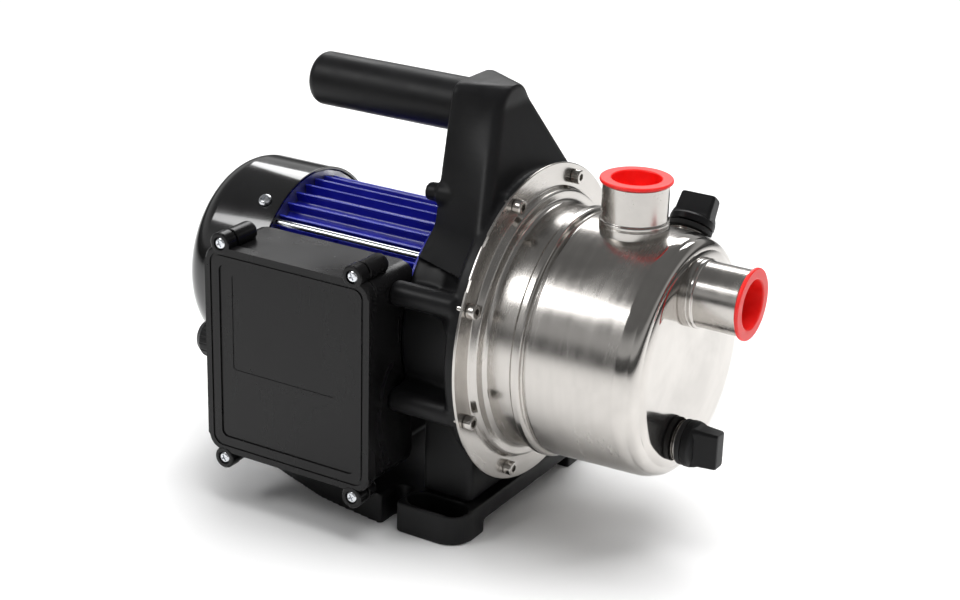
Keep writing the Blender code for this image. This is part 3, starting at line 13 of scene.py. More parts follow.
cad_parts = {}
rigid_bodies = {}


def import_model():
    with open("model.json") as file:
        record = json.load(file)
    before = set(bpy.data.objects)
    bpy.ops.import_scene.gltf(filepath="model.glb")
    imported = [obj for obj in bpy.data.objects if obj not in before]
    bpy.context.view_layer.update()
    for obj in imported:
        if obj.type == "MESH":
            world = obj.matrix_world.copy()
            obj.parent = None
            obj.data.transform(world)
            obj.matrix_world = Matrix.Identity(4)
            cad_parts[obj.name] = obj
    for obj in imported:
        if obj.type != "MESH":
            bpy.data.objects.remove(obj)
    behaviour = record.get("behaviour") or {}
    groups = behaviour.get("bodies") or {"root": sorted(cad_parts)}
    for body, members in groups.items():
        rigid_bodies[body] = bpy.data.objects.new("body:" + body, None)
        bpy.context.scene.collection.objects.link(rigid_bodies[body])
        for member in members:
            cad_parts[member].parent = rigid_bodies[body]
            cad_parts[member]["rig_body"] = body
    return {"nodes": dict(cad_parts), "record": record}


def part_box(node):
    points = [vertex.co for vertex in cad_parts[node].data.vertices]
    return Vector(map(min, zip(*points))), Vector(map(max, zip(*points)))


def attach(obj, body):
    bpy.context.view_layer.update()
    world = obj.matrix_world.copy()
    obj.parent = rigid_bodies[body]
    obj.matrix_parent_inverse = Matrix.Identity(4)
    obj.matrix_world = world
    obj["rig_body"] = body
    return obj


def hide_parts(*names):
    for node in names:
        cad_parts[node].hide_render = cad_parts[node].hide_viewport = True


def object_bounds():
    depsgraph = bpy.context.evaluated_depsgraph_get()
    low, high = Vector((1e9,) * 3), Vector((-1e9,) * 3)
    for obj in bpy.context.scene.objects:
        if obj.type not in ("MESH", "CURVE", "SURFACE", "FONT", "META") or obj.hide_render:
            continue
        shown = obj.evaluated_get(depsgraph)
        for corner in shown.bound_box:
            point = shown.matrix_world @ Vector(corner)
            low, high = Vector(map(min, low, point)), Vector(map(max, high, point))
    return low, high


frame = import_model()
cad_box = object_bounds()

MM = 0.001
GAP = 0.3
SHEET = 1.5
TURN_STEPS = 144
SMALL_STEPS = 40
SHARP_ANGLE = math.radians(38)


# The frame's sizes


def size_of(node):
    """Low and high corners of a node in the design frame, in millimetres."""
    low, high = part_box(node)
    return (low - ORIGIN) / MM, (high - ORIGIN) / MM


def shaft_origin():
    shaft_low, shaft_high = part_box("rotor_shaft")
    casing_low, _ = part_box("pump_casing")
    middle = (shaft_low + shaft_high) / 2
    return Vector((casing_low.x + SHEET * MM, middle.y, middle.z))


ORIGIN = shaft_origin()
_, CASING_HIGH = size_of("pump_casing")
FLANGE_R = CASING_HIGH.y
CASING_FACE_X = CASING_HIGH.x
DISCHARGE_LOW, DISCHARGE_HIGH = size_of("discharge_port")
DISCHARGE_X = (DISCHARGE_LOW.x + DISCHARGE_HIGH.x) / 2
SUCTION_LOW, SUCTION_HIGH = size_of("suction_port")
SUCTION_Z = (SUCTION_LOW.z + SUCTION_HIGH.z) / 2
CAP_LOW, CAP_HIGH = size_of("discharge_cap")
DRAIN_LOW, DRAIN_HIGH = size_of("drain_plug")
SCREW_LOW, SCREW_HIGH = size_of("flange_screw_1")
GRIP_LOW, GRIP_HIGH = size_of("handle_grip")
_, BRACKET_HIGH = size_of("bracket")
BASE_LOW, BASE_HIGH = size_of("base")
HOUSING_LOW, HOUSING_HIGH = size_of("motor_housing")
COVER_LOW, COVER_HIGH = size_of("fan_cover")
BOX_LOW, _ = size_of("terminal_box")
LID_LOW, LID_HIGH = size_of("terminal_box_lid")
NUT_LOW, _ = size_of("gland_nut")
GLAND_LOW, GLAND_HIGH = size_of("cable_gland")

# Casing
NECK_R = 70.8
BAND_R = 79.3
BAND_X = 4.6
BEAD_X = 25.0
BEAD_HALF = 2.4
BEAD_HEIGHT = 1.9
GROOVE_DEPTH = 0.9
FRONT_R = 69.0
SHOULDER_R = 14.0
PORT_R = 18.5
PORT_BORE_R = 15.3
PORT_BEAD_R = DISCHARGE_HIGH.x - DISCHARGE_X
PORT_BEAD_HEIGHT = 4.8
NOTCHES = ((-64.5, 68.8), (-79.9, 47.2))
SCREW_COUNT = 8
SCREW_CIRCLE_R = 85.8

# Bracket
BRACKET_REAR_X = -50.0
RING_R = 88.0
RING_DEPTH = 8.0
DRUM_R = 70.0
DRUM_BORE_R = 62.0
BOSS_R = 7.2
BOSS_CIRCLE_R = 83.2
BOSS_TIP_R = 5.4
TOP_BOSS_EXTRA = 7.0
GRIP_Z = (GRIP_LOW.z + GRIP_HIGH.z) / 2
GRIP_R = GRIP_HIGH.z - GRIP_Z
COLUMN_FRONT_R = 17.0
COLUMN_REAR_HALF = 24.0
COLUMN_CORNER_R = 7.0
COLUMN_CORNER_Z = BRACKET_HIGH.z - COLUMN_CORNER_R - 0.4
COLUMN_TILT = math.asin((RING_R - COLUMN_FRONT_R) / GRIP_Z)
COLUMN_START_Z = 20.0
COLUMN_TAPER = 0.18
COLUMN_LEAN = 16.0
FILLET_R = 30.0
FILLET_CENTRE = (63.6, 74.6)
LEG_HALF = 57.0
LEG_X = (-42.0, -9.5)

# Base
BASE_HIGH_FLAT = -96.0
BASE_PLATE_Z = -107.0
BASE_FRONT_X = -3.5
SLOT_END_Y = 58.0
SLOT_X = -51.8
SLOT_R = 5.75
FOOT_WALL = 2.2
FOOT_FLOOR_Z = BASE_LOW.z + 6
FOOT_CORNER_R = 14.0

# Motor
FIN_COUNT = 36
FIN_R = 56.0
FIN_HEIGHT = 6.0
FIN_HALF = 0.7
COVER_R = COVER_HIGH.y
COVER_ROUNDING = 16.7
COVER_WALL = 1.8
COVER_SCREW_X = -168.0
COVER_SCREW_ANGLE = 126.3
ROD_R = 2.4
ROD_CIRCLE_R = 55.5
PRIMING_ANGLE = math.radians(37)
PRIMING_X = 70.0


# Mesh tools


def to_world(bm):
    for vertex in bm.verts:
        vertex.co = ORIGIN + vertex.co * MM


def new_object(name, bm):
    """An object from a mesh in the design frame, in millimetres."""
    bmesh.ops.recalc_face_normals(bm, faces=bm.faces)
    to_world(bm)
    mesh = bpy.data.meshes.new(name)
    bm.to_mesh(mesh)
    bm.free()
    obj = bpy.data.objects.new(name, mesh)
    bpy.context.scene.collection.objects.link(obj)
    return obj


def rounded_path(points, segments=5, closed=False):
    """A path with its corners rounded. Each point is (a, b) or (a, b, radius)."""
    count = len(points)
    path = []
    for i, point in enumerate(points):
        here = Vector(point[:2])
        radius = point[2] if len(point) > 2 else 0.0
        at_end = not closed and i in (0, count - 1)
        if at_end or radius <= 0:
            path.append(here)
            continue
        before = Vector(points[i - 1][:2]) - here
        after = Vector(points[(i + 1) % count][:2]) - here
        angle = before.angle(after)
        if angle > math.pi - 0.02:
            path.append(here)
            continue
        reach = min(radius / math.tan(angle / 2), before.length * 0.49, after.length * 0.49)
        radius = reach * math.tan(angle / 2)
        middle = (before.normalized() + after.normalized()).normalized()
        centre = here + middle * (radius / math.sin(angle / 2))
        first = here + before.normalized() * reach - centre
        last = here + after.normalized() * reach - centre
        sweep = first.angle_signed(last)
        for step in range(segments + 1):
            turn = Matrix.Rotation(-sweep * step / segments, 2)
            path.append(centre + turn @ first)
    return [(p.x, p.y) for p in path]


def spin(bm, path, steps=TURN_STEPS, closed=False, matrix=None):
    """Turns a path of (radius, height) about +Z."""
    rings = []
    for radius, height in path:
        if radius < 1e-4:
            rings.append([bm.verts.new((0, 0, height))])
            continue
        ring = []
        for step in range(steps):
            angle = 2 * math.pi * step / steps
            ring.append(bm.verts.new((radius * math.cos(angle), radius * math.sin(angle), height)))
        rings.append(ring)
    pairs = list(zip(rings, rings[1:]))
    if closed:
        pairs.append((rings[-1], rings[0]))
    for first, second in pairs:
        for i in range(steps):
            j = (i + 1) % steps
            inner = [first[i % len(first)], first[j % len(first)]]
            outer = [second[j % len(second)], second[i % len(second)]]
            unique = list(dict.fromkeys(inner + outer))
            if len(unique) > 2:
                bm.faces.new(unique)
    if matrix is not None:
        made = [vertex for ring in rings for vertex in ring]
        bmesh.ops.transform(bm, matrix=matrix, verts=made)
    return bm


def axis_matrix(location, direction=(1, 0, 0), roll=0.0):
    """Places something modelled along +Z at location, pointing along direction."""
    turn = Vector((0, 0, 1)).rotation_difference(Vector(direction)).to_matrix().to_4x4()
    return Matrix.Translation(Vector(location)) @ turn @ Matrix.Rotation(roll, 4, "Z")


def turned(name, path, location=(0, 0, 0), direction=(1, 0, 0), steps=TURN_STEPS, closed=False, segments=5):
    bm = bmesh.new()
    spin(bm, rounded_path(path, segments, closed), steps, closed, axis_matrix(location, direction))
    return new_object(name, bm)


def prism(bm, outline, low, high, matrix=None):
    """A flat outline in XY extruded along +Z."""
    bottom = [bm.verts.new((x, y, low)) for x, y in outline]
    top = [bm.verts.new((x, y, high)) for x, y in outline]
    bm.faces.new(bottom)
    bm.faces.new(top)
    for i in range(len(outline)):
        j = (i + 1) % len(outline)
        bm.faces.new((bottom[i], bottom[j], top[j], top[i]))
    if matrix is not None:
        bmesh.ops.transform(bm, matrix=matrix, verts=bottom + top)
    return bm


def rectangle(left, bottom, right, top, corner, segments):
    """A flat rectangle's outline with rounded corners."""
    corners = [(left, bottom, corner), (right, bottom, corner), (right, top, corner), (left, top, corner)]
    return rounded_path(corners, segments, closed=True)


def block(name, low, high, corner=0.0, edge=0.0, matrix=None, segments=3):
    """A box with rounded vertical corners and softened edges."""
    outline = rectangle(low[0], low[1], high[0], high[1], corner, 6)
    return slab(name, outline, low[2], high[2], edge, matrix, segments)


def slab(name, outline, low, high, edge=0.0, matrix=None, segments=3):
    bm = bmesh.new()
    prism(bm, outline, low, high)
    if edge:
        rims = [e for e in bm.edges if abs(e.verts[0].co.z - e.verts[1].co.z) < 1e-6]
        bmesh.ops.bevel(bm, geom=rims, offset=edge, segments=segments, affect="EDGES", profile=0.5)
    if matrix is not None:
        bmesh.ops.transform(bm, matrix=matrix, verts=bm.verts)
    return new_object(name, bm)


def loft(name, rows):
    bm = bmesh.new()
    rings = [[bm.verts.new(point) for point in row] for row in rows]
    count = len(rings[0])
    for first, second in zip(rings, rings[1:]):
        for i in range(count):
            j = (i + 1) % count
            bm.faces.new((first[i], first[j], second[j], second[i]))
    bm.faces.new(rings[0])
    bm.faces.new(rings[-1])
    return new_object(name, bm)


def apply_modifiers(obj):
    graph = bpy.context.evaluated_depsgraph_get()
    mesh = bpy.data.meshes.new_from_object(obj.evaluated_get(graph), depsgraph=graph)
    old = obj.data
    obj.modifiers.clear()
    obj.data = mesh
    bpy.data.meshes.remove(old)
    return obj


def combine(obj, others, operation, solver="MANIFOLD"):
    for other in others:
        modifier = obj.modifiers.new("combine", "BOOLEAN")
        modifier.operation = operation
        modifier.solver = solver
        modifier.object = other
    apply_modifiers(obj)
    for other in others:
        bpy.data.objects.remove(other, do_unlink=True)
    return obj


def weld_on(obj, *others):
    return combine(obj, others, "UNION")


def cut(obj, *others):
    return combine(obj, others, "DIFFERENCE")


def soften(obj, voxel, rounds, factor=0.5):
    """Rebuilds a welded shape as one skin with moulded, softened edges."""
    remesh = obj.modifiers.new("skin", "REMESH")
    remesh.mode = "VOXEL"
    remesh.voxel_size = voxel * MM
    smooth = obj.modifiers.new("soft", "SMOOTH")
    smooth.factor = factor
    smooth.iterations = rounds
    return apply_modifiers(obj)


def bevel(obj, width, segments=3, angle=30):
    modifier = obj.modifiers.new("bevel", "BEVEL")
    modifier.width = width * MM
    modifier.segments = segments
    modifier.limit_method = "ANGLE"
    modifier.angle_limit = math.radians(angle)
    modifier.harden_normals = False
    return apply_modifiers(obj)


def cutter(path, location=(0, 0, 0), direction=(1, 0, 0), steps=SMALL_STEPS):
    return turned("cutter", path, location, direction, steps)


def hole(radius, low, high, location=(0, 0, 0), direction=(1, 0, 0), steps=SMALL_STEPS):
    return cutter([(0, high), (radius, high), (radius, low), (0, low)], location, direction, steps)


def radial(angle):
    return Vector((0, math.cos(angle), math.sin(angle)))


# Materials, each a small node tree on object coordinates, which run in metres from the world's origin


class Tree:
    """A material's node tree with short calls for the nodes that the finishes share."""

    def __init__(self, name):
        self.material = bpy.data.materials.new(name)
        self.material.use_nodes = True
        self.nodes = self.material.node_tree.nodes
        self.links = self.material.node_tree.links
        self.shader = self.nodes["Principled BSDF"]

    def set(self, **values):
        for key, value in values.items():
            socket = self.shader.inputs[key.replace("_", " ")]
            socket.default_value = value
        return self

    def link(self, output, socket):
        target = self.shader.inputs[socket] if isinstance(socket, str) else socket
        self.links.new(output, target)

    def from_shaft(self):
        """Coordinates from the shaft's origin, in metres."""
        geometry = self.nodes.new("ShaderNodeTexCoord")
        shift = self.nodes.new("ShaderNodeVectorMath")
        shift.operation = "SUBTRACT"
        self.links.new(geometry.outputs["Object"], shift.inputs[0])
        shift.inputs[1].default_value = ORIGIN
        return shift.outputs[0]

    def scaled(self, vector, scale):
        node = self.nodes.new("ShaderNodeVectorMath")
        node.operation = "MULTIPLY"
        self.links.new(vector, node.inputs[0])
        node.inputs[1].default_value = scale
        return node.outputs[0]

    def noise(self, vector, scale, detail=3.0, roughness=0.5, distortion=0.0):
        node = self.nodes.new("ShaderNodeTexNoise")
        node.inputs["Scale"].default_value = scale
        node.inputs["Detail"].default_value = detail
        node.inputs["Roughness"].default_value = roughness
        node.inputs["Distortion"].default_value = distortion
        self.links.new(vector, node.inputs["Vector"])
        return node.outputs["Fac"]

    def mapped(self, value, low, high, from_low=0.3, from_high=0.7):
        node = self.nodes.new("ShaderNodeMapRange")
        node.inputs["From Min"].default_value = from_low
        node.inputs["From Max"].default_value = from_high
        node.inputs["To Min"].default_value = low
        node.inputs["To Max"].default_value = high
        self.links.new(value, node.inputs["Value"])
        return node.outputs["Result"]

    def math(self, operation, first, second):
        node = self.nodes.new("ShaderNodeMath")
        node.operation = operation
        for value, socket in ((first, node.inputs[0]), (second, node.inputs[1])):
            if isinstance(value, (int, float)):
                socket.default_value = value
            else:
                self.links.new(value, socket)
        return node.outputs[0]

    def blend(self, first, second, share):
        """Share of the first value and the rest of the second."""
        part = self.math("MULTIPLY", first, share)
        return self.math("ADD", part, self.math("MULTIPLY", second, 1.0 - share))

    def mix(self, factor, first, second):
        node = self.nodes.new("ShaderNodeMix")
        node.data_type = "RGBA"
        self.links.new(factor, node.inputs["Factor"])
        node.inputs["A"].default_value = (*first, 1)
        node.inputs["B"].default_value = (*second, 1)
        return node.outputs["Result"]

    def bump(self, height, strength, distance=0.0002):
        node = self.nodes.new("ShaderNodeBump")
        node.inputs["Strength"].default_value = strength
        node.inputs["Distance"].default_value = distance
        self.links.new(height, node.inputs["Height"])
        self.link(node.outputs["Normal"], "Normal")

    def polar(self):
        """(x, radius, a little of the turn) about the shaft, for lines turned on a lathe."""
        vector = self.from_shaft()
        split = self.nodes.new("ShaderNodeSeparateXYZ")
        self.links.new(vector, split.inputs[0])
        x, y, z = split.outputs
        square = self.math("ADD", self.math("MULTIPLY", y, y), self.math("MULTIPLY", z, z))
        radius = self.math("SQRT", square, 0.0)
        turn = self.math("ARCTAN2", z, y)
        join = self.nodes.new("ShaderNodeCombineXYZ")
        self.links.new(x, join.inputs[0])
        self.links.new(radius, join.inputs[1])
        self.links.new(self.math("MULTIPLY", turn, 0.004), join.inputs[2])
        return join.outputs[0]


def stainless(name, rough_low, rough_high, rings=0.28, lines=0.05, colour=(0.60, 0.575, 0.545)):
    """Turned stainless sheet: fine lines round the shaft, softer cloudy patches and warm tint. Rings
    is the share of the tone that follows the turning lines."""
    tree = Tree(name).set(Metallic=1.0)
    ring = tree.polar()
    fine = tree.noise(ring, 2600, 2.0, 0.6)
    broad = tree.noise(ring, 240, 3.0, 0.6)
    cloud = tree.noise(tree.from_shaft(), 26, 3.0, 0.55, 0.4)
    tone = tree.blend(broad, cloud, rings)
    darker = tuple(value * 0.84 for value in colour)
    tree.link(tree.mix(tree.mapped(tone, 0.0, 1.0, 0.38, 0.62), darker, colour), "Base Color")
    gloss = tree.blend(fine, tone, rings * 0.7)
    tree.link(tree.mapped(gloss, rough_low, rough_high, 0.38, 0.62), "Roughness")
    tree.bump(fine, lines, 0.00006)
    return tree.material


def metal(name, colour, roughness, grain=900, strength=0.12):
    """Plated or machined steel with a fine grain and faint dull patches."""
    tree = Tree(name).set(Metallic=1.0)
    vector = tree.from_shaft()
    grainy = tree.noise(vector, grain, 3.0, 0.6)
    cloud = tree.noise(vector, 90, 2.0, 0.5)
    darker = tuple(value * 0.82 for value in colour)
    tree.link(tree.mix(tree.mapped(cloud, 0.0, 1.0), darker, colour), "Base Color")
    tree.link(tree.mapped(cloud, roughness * 0.75, roughness * 1.3), "Roughness")
    tree.bump(grainy, strength, 0.0001)
    return tree.material


def plastic(name, colour, roughness, grain=1500, strength=0.12, sheen_colour=None, specular=0.5, wear=1.25):
    """Moulded plastic: fine grain, slow changes of gloss and slightly lighter rubbed patches."""
    tree = Tree(name).set(Specular_IOR_Level=specular)
    vector = tree.from_shaft()
    grainy = tree.noise(vector, grain, 2.0, 0.55)
    flow = tree.noise(tree.scaled(vector, (1.0, 1.0, 0.45)), 38, 4.0, 0.6, 0.5)
    lighter = sheen_colour or tuple(min(1.0, value * wear + 0.002) for value in colour)
    tree.link(tree.mix(tree.mapped(flow, 0.0, 1.0), colour, lighter), "Base Color")
    tree.link(tree.mapped(flow, roughness * 0.82, roughness * 1.18), "Roughness")
    tree.bump(grainy, strength, 0.00012)
    return tree.material


def paint(name, colour, roughness, light, coat=0.6, peel=0.05):
    """Sprayed enamel with a soft orange peel under its gloss."""
    tree = Tree(name).set(Coat_Weight=coat, Coat_Roughness=0.06)
    vector = tree.from_shaft()
    wave = tree.noise(vector, 420, 2.0, 0.5)
    cloud = tree.noise(vector, 45, 2.0, 0.5)
    tree.link(tree.mix(tree.mapped(cloud, 0.0, 1.0), colour, light), "Base Color")
    tree.link(tree.mapped(cloud, roughness * 0.85, roughness * 1.2), "Roughness")
    tree.bump(wave, peel, 0.0002)
    return tree.material


def soft_red(name):
    """Low density polyethylene: bright, a little translucent, with faint flow marks."""
    tree = Tree(name).set(
        Subsurface_Weight=0.25,
        Subsurface_Scale=0.004,
        Subsurface_Radius=(1.0, 0.15, 0.1),
    )
    vector = tree.from_shaft()
    flow = tree.noise(vector, 120, 3.0, 0.55, 0.3)
    colour = tree.mix(tree.mapped(flow, 0.0, 1.0), (0.80, 0.012, 0.010), (0.90, 0.026, 0.022))
    tree.link(colour, "Base Color")
    tree.link(tree.mapped(flow, 0.33, 0.46), "Roughness")
    tree.bump(tree.noise(vector, 900, 2.0, 0.5), 0.06, 0.0001)
    return tree.material


def copper(name):
    """Lacquered windings: fine parallel strands that run round the shaft."""
    tree = Tree(name).set(Metallic=0.85)
    ring = tree.polar()
    strands = tree.noise(ring, 1400, 2.0, 0.7)
    colour = tree.mix(tree.mapped(strands, 0.0, 1.0), (0.42, 0.15, 0.06), (0.78, 0.36, 0.18))
    tree.link(colour, "Base Color")
    tree.link(tree.mapped(strands, 0.30, 0.5), "Roughness")
    tree.bump(strands, 0.5, 0.0003)
    return tree.material


def lamination(name):
    """Stacked steel sheets: lines across the shaft."""
    tree = Tree(name).set(Metallic=0.9)
    sheets = tree.noise(tree.scaled(tree.from_shaft(), (1.0, 0.02, 0.02)), 2200, 1.0, 0.5)
    colour = tree.mix(tree.mapped(sheets, 0.0, 1.0), (0.16, 0.16, 0.17), (0.36, 0.36, 0.38))
    tree.link(colour, "Base Color")
    tree.link(tree.mapped(sheets, 0.4, 0.6), "Roughness")
    tree.bump(sheets, 0.4, 0.0002)
    return tree.material


FINISHES = {
    "stainless": stainless("stainless_turned", 0.15, 0.30),
    "shaft_steel": metal("ground_steel", (0.50, 0.50, 0.50), 0.32),
    "zinc_steel": metal("zinc_plate", (0.78, 0.80, 0.83), 0.22),
    "red_plastic": soft_red("red_polyethylene"),
    "black_plastic": plastic("black_moulding", (0.0045, 0.0045, 0.0049), 0.42, specular=0.22),
    "gloss_black_paint": paint(
        "gloss_black_enamel", (0.003, 0.003, 0.0032), 0.14, (0.005, 0.005, 0.0055), 0.8, 0.03
    ),
    "box_plastic": plastic("black_abs", (0.0048, 0.0046, 0.0048), 0.26, 1100, 0.02, specular=0.24),
    "blue_paint": paint("blue_enamel", (0.006, 0.008, 0.27), 0.32, (0.010, 0.014, 0.36)),
    "cast_aluminium": metal("cast_aluminium_skin", (0.60, 0.60, 0.61), 0.45, 500, 0.4),
    "black_rubber": plastic("black_rubber_skin", (0.008, 0.008, 0.008), 0.70, 700, 0.25),
    "wet_end_plastic": plastic("grey_noryl", (0.075, 0.075, 0.082), 0.5),
    "lamination_steel": lamination("steel_sheets"),
    "copper_winding": copper("copper_strands"),
    "ceramic": plastic("white_ceramic", (0.80, 0.79, 0.75), 0.25, 1600, 0.04, wear=1.05),
    "cream_plastic": plastic("cream_nylon", (0.70, 0.67, 0.58), 0.45, 1000, 0.08, wear=1.08),
}
POLISHED = stainless("stainless_polished", 0.07, 0.14, 0.12, 0.02)
# Fin crests: a lighter copy of the housing's blue enamel, a painted highlight where the fin edges catch the
# light
CREST_HIGHLIGHT_PAINT = paint("blue_enamel_crest_painted_highlight", (0.016, 0.024, 0.36), 0.30, (0.030, 0.045, 0.44))
SLOT_OF = {part["node"]: part["material_slot"] for part in frame["record"]["subparts"]}


def show(obj, node, extra=(), sharp=SHARP_ANGLE):
    """Lets a fine piece stand for its node: it rides on the node's body with the node's finish."""
    slot = SLOT_OF[node]
    obj.data.materials.clear()
    obj.data.materials.append(FINISHES[slot])
    for material in extra:
        obj.data.materials.append(material)
    obj.data.shade_smooth()
    obj.data.set_sharp_from_angle(angle=sharp)
    weighted = obj.modifiers.new("flat_faces", "WEIGHTED_NORMAL")
    weighted.keep_sharp = True
    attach(obj, frame["nodes"][node]["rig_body"])
    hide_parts(node)
    return obj


# Casing, ports and caps


def casing_path():
    """(radius, x) of the casing's skin: outer side from the face's middle to the flange's rim, and back
    inside."""
    face = CASING_FACE_X
    inner = SHEET
    low = BEAD_X - BEAD_HALF
    high = BEAD_X + BEAD_HALF
    return [
        (0, face),
        (FRONT_R, face, SHOULDER_R),
        (NECK_R - 0.2, high + 4.0, 3.0),
        (NECK_R - GROOVE_DEPTH, high + 1.0, 0.8),
        (NECK_R + BEAD_HEIGHT, high, 1.6),
        (NECK_R + BEAD_HEIGHT, low, 1.6),
        (NECK_R, low - 0.6, 1.0),
        (NECK_R, BAND_X, 3.0),
        (BAND_R - 1.4, BAND_X, 1.8),
        (BAND_R, 0.0, 1.2),
        (FLANGE_R, 0.0, 0.6),
        (FLANGE_R, -SHEET, 0.3),
        (BAND_R - inner, -SHEET, 1.0),
        (BAND_R - 2 * inner, BAND_X - inner, 1.0),
        (NECK_R - inner, BAND_X - inner, 1.0),
        (NECK_R - 2 * inner, high + 6.0, 1.0),
        (FRONT_R - inner, face - SHOULDER_R, 2.0),
        (FRONT_R - inner, face - inner, SHOULDER_R - inner),
        (0, face - inner),
    ]


def make_casing():
    casing = turned("casing_skin", casing_path(), steps=256, segments=14)
    notches = []
    for y, z in NOTCHES:
        angle = math.atan2(z, y)
        matrix = axis_matrix(radial(angle) * (FLANGE_R + 1.0), radial(angle), 0)
        notches.append(block("cutter", (-4, -3.5, -2.2), (4, 3.5, 2), 1.2, matrix=matrix))
    cut(
        casing,
        hole(PORT_R - 1.4, 40, 90, (DISCHARGE_X, 0, 0), (0, 0, 1), 96),
        hole(PORT_R - 1.4, 70, 110, (0, 0, SUCTION_Z), steps=96),
        hole(10.4, 50, 80, (PRIMING_X, 0, 0), priming_direction(), 64),
        hole(10.4, 80, 110, drain_spot(), steps=64),
        *notches,
    )
    show(casing, "pump_casing", [POLISHED])
    polish_from = CASING_FACE_X - SHOULDER_R * 1.2
    for face in casing.data.polygons:
        if (face.center.x - ORIGIN.x) / MM > polish_from:
            face.material_index = 1


def priming_direction():
    return Vector((0, math.sin(PRIMING_ANGLE), math.cos(PRIMING_ANGLE)))


def drain_spot():
    low, high = size_of("drain_plug_washer")
    return (0, (DRAIN_LOW.y + DRAIN_HIGH.y) / 2, (low.z + high.z) / 2)


def make_port(node, base, top, spot, direction):
    """A port: toe weld, rolled bead, plain stub and softened lip, from base to top along its axis."""
    middle = base + GAP + PORT_BEAD_HEIGHT / 2
    path = [
        (PORT_BORE_R, top, 0.5),
        (PORT_R, top, 0.7),
        (PORT_R, middle + 2.6, 1.0),
        (PORT_BEAD_R, middle + 2.2, 1.0),
        (PORT_BEAD_R, middle + 0.5, 0.5),
        (PORT_BEAD_R - 0.9, middle, 0.3),
        (PORT_BEAD_R, middle - 0.5, 0.5),
        (PORT_BEAD_R, base - 3.0, 0.5),
        (PORT_R - 1.8, base - 3.0, 0.3),
        (PORT_R - 1.8, base - 4.0, 0.3),
        (PORT_BORE_R, base - 4.0, 0.3),
    ]
    port = turned(node + "_skin", path, spot, direction, 144, closed=True)
    return show(port, node, [POLISHED])


def make_cap(node, rim, spot, direction):
    """A push-in transport cap: a soft ring round a blind cup."""
    ring_r = (CAP_HIGH.x - CAP_LOW.x) / 2
    thickness = CAP_HIGH.z - DISCHARGE_HIGH.z - GAP
    depth = DISCHARGE_HIGH.z - CAP_LOW.z
    cup_r = PORT_BORE_R - GAP
    path = [
        (0, rim - depth + 1.2),
        (cup_r - 1.6, rim - depth + 1.2, 1.5),
        (cup_r - 1.2, rim + GAP + thickness, 1.0),
        (ring_r, rim + GAP + thickness, 0.9),
        (ring_r, rim + GAP, 0.8),
        (cup_r, rim + GAP, 0.3),
        (cup_r, rim - depth, 1.0),
        (0, rim - depth),
    ]
    return show(turned(node + "_skin", path, spot, direction, 128), node)


def make_ports():
    make_port("discharge_port", DISCHARGE_LOW.z + 4.0, DISCHARGE_HIGH.z, (DISCHARGE_X, 0, 0), (0, 0, 1))
    make_port("suction_port", SUCTION_LOW.x + 4.0, SUCTION_HIGH.x, (0, 0, SUCTION_Z), (1, 0, 0))
    make_cap("discharge_cap", DISCHARGE_HIGH.z, (DISCHARGE_X, 0, 0), (0, 0, 1))
    make_cap("suction_cap", SUCTION_HIGH.x, (0, 0, SUCTION_Z), (1, 0, 0))


# Plugs


BOSS_BORE_R = 8.3
BOSS_R_OUTSIDE = 10.3
BOSS_HEAD_R = 11.5
BOSS_HEAD_TOP = 1.1
BOSS_DEPTH = 8.0
WASHER_R = 13.0
WASHER_LOW = 1.4
WASHER_HIGH = 4.8
PLUG_THREAD_R = 8.0
PLUG_THREAD_LENGTH = 12.0
PLUG_DISC_R = 13.3
PLUG_DISC_LOW = 5.1
PLUG_DISC_HIGH = PLUG_DISC_LOW + 5.0
PLUG_STEPS = 96
# Sections of the wing grip from the disc to its top: height, half length, half width, corner
WING_ROWS = (
    (-1.5, 12.0, 8.0, 3.0),
    (1.0, 11.6, 7.2, 2.6),
    (3.0, 11.0, 6.0, 2.0),
    (12.6, 10.6, 5.0, 1.6),
    (13.6, 10.2, 4.6, 1.6),
    (14.0, 9.2, 3.6, 1.4),
)


def make_plug_set(prefix, foot, direction, roll):
    """Boss, washer and plug stacked along direction from the casing's surface at foot."""
    boss_path = [
        (BOSS_BORE_R, -BOSS_DEPTH),
        (BOSS_BORE_R, BOSS_HEAD_TOP, 0.3),
        (BOSS_HEAD_R, BOSS_HEAD_TOP, 0.4),
        (BOSS_HEAD_R, GAP, 0.3),
        (BOSS_R_OUTSIDE, GAP, 0.2),
        (BOSS_R_OUTSIDE, -BOSS_DEPTH),
    ]
    boss = turned(prefix + "_boss_skin", boss_path, foot, direction, PLUG_STEPS, closed=True)
    show(boss, prefix + "_boss")
    washer_path = [
        (WASHER_R, WASHER_HIGH, 0.9),
        (WASHER_R, WASHER_LOW, 0.9),
        (BOSS_BORE_R, WASHER_LOW, 0.4),
        (BOSS_BORE_R, WASHER_HIGH, 0.4),
    ]
    washer = turned(prefix + "_washer_skin", washer_path, foot, direction, PLUG_STEPS, closed=True)
    show(washer, prefix + "_plug_washer")
    path = [
        (0, PLUG_DISC_HIGH + 1.0),
        (9.0, PLUG_DISC_HIGH + 1.0, 1.5),
        (11.8, PLUG_DISC_HIGH, 1.2),
        (PLUG_DISC_R, PLUG_DISC_HIGH - 1.2, 0.8),
        (PLUG_DISC_R, PLUG_DISC_LOW, 0.8),
        (PLUG_THREAD_R, PLUG_DISC_LOW, 0.3),
        (PLUG_THREAD_R, PLUG_DISC_LOW - PLUG_THREAD_LENGTH, 0.8),
        (0, PLUG_DISC_LOW - PLUG_THREAD_LENGTH),
    ]
    plug = turned(prefix + "_plug_skin", path, foot, direction, PLUG_STEPS)
    matrix = axis_matrix(foot, direction, roll)
    rows = []
    for height, half_length, half_width, corner in WING_ROWS:
        outline = rectangle(-half_length, -half_width, half_length, half_width, corner, 5)
        rows.append([matrix @ Vector((x, y, PLUG_DISC_HIGH + height)) for x, y in outline])
    weld_on(plug, loft("wing", rows))
    show(plug, prefix + "_plug", sharp=math.radians(28))


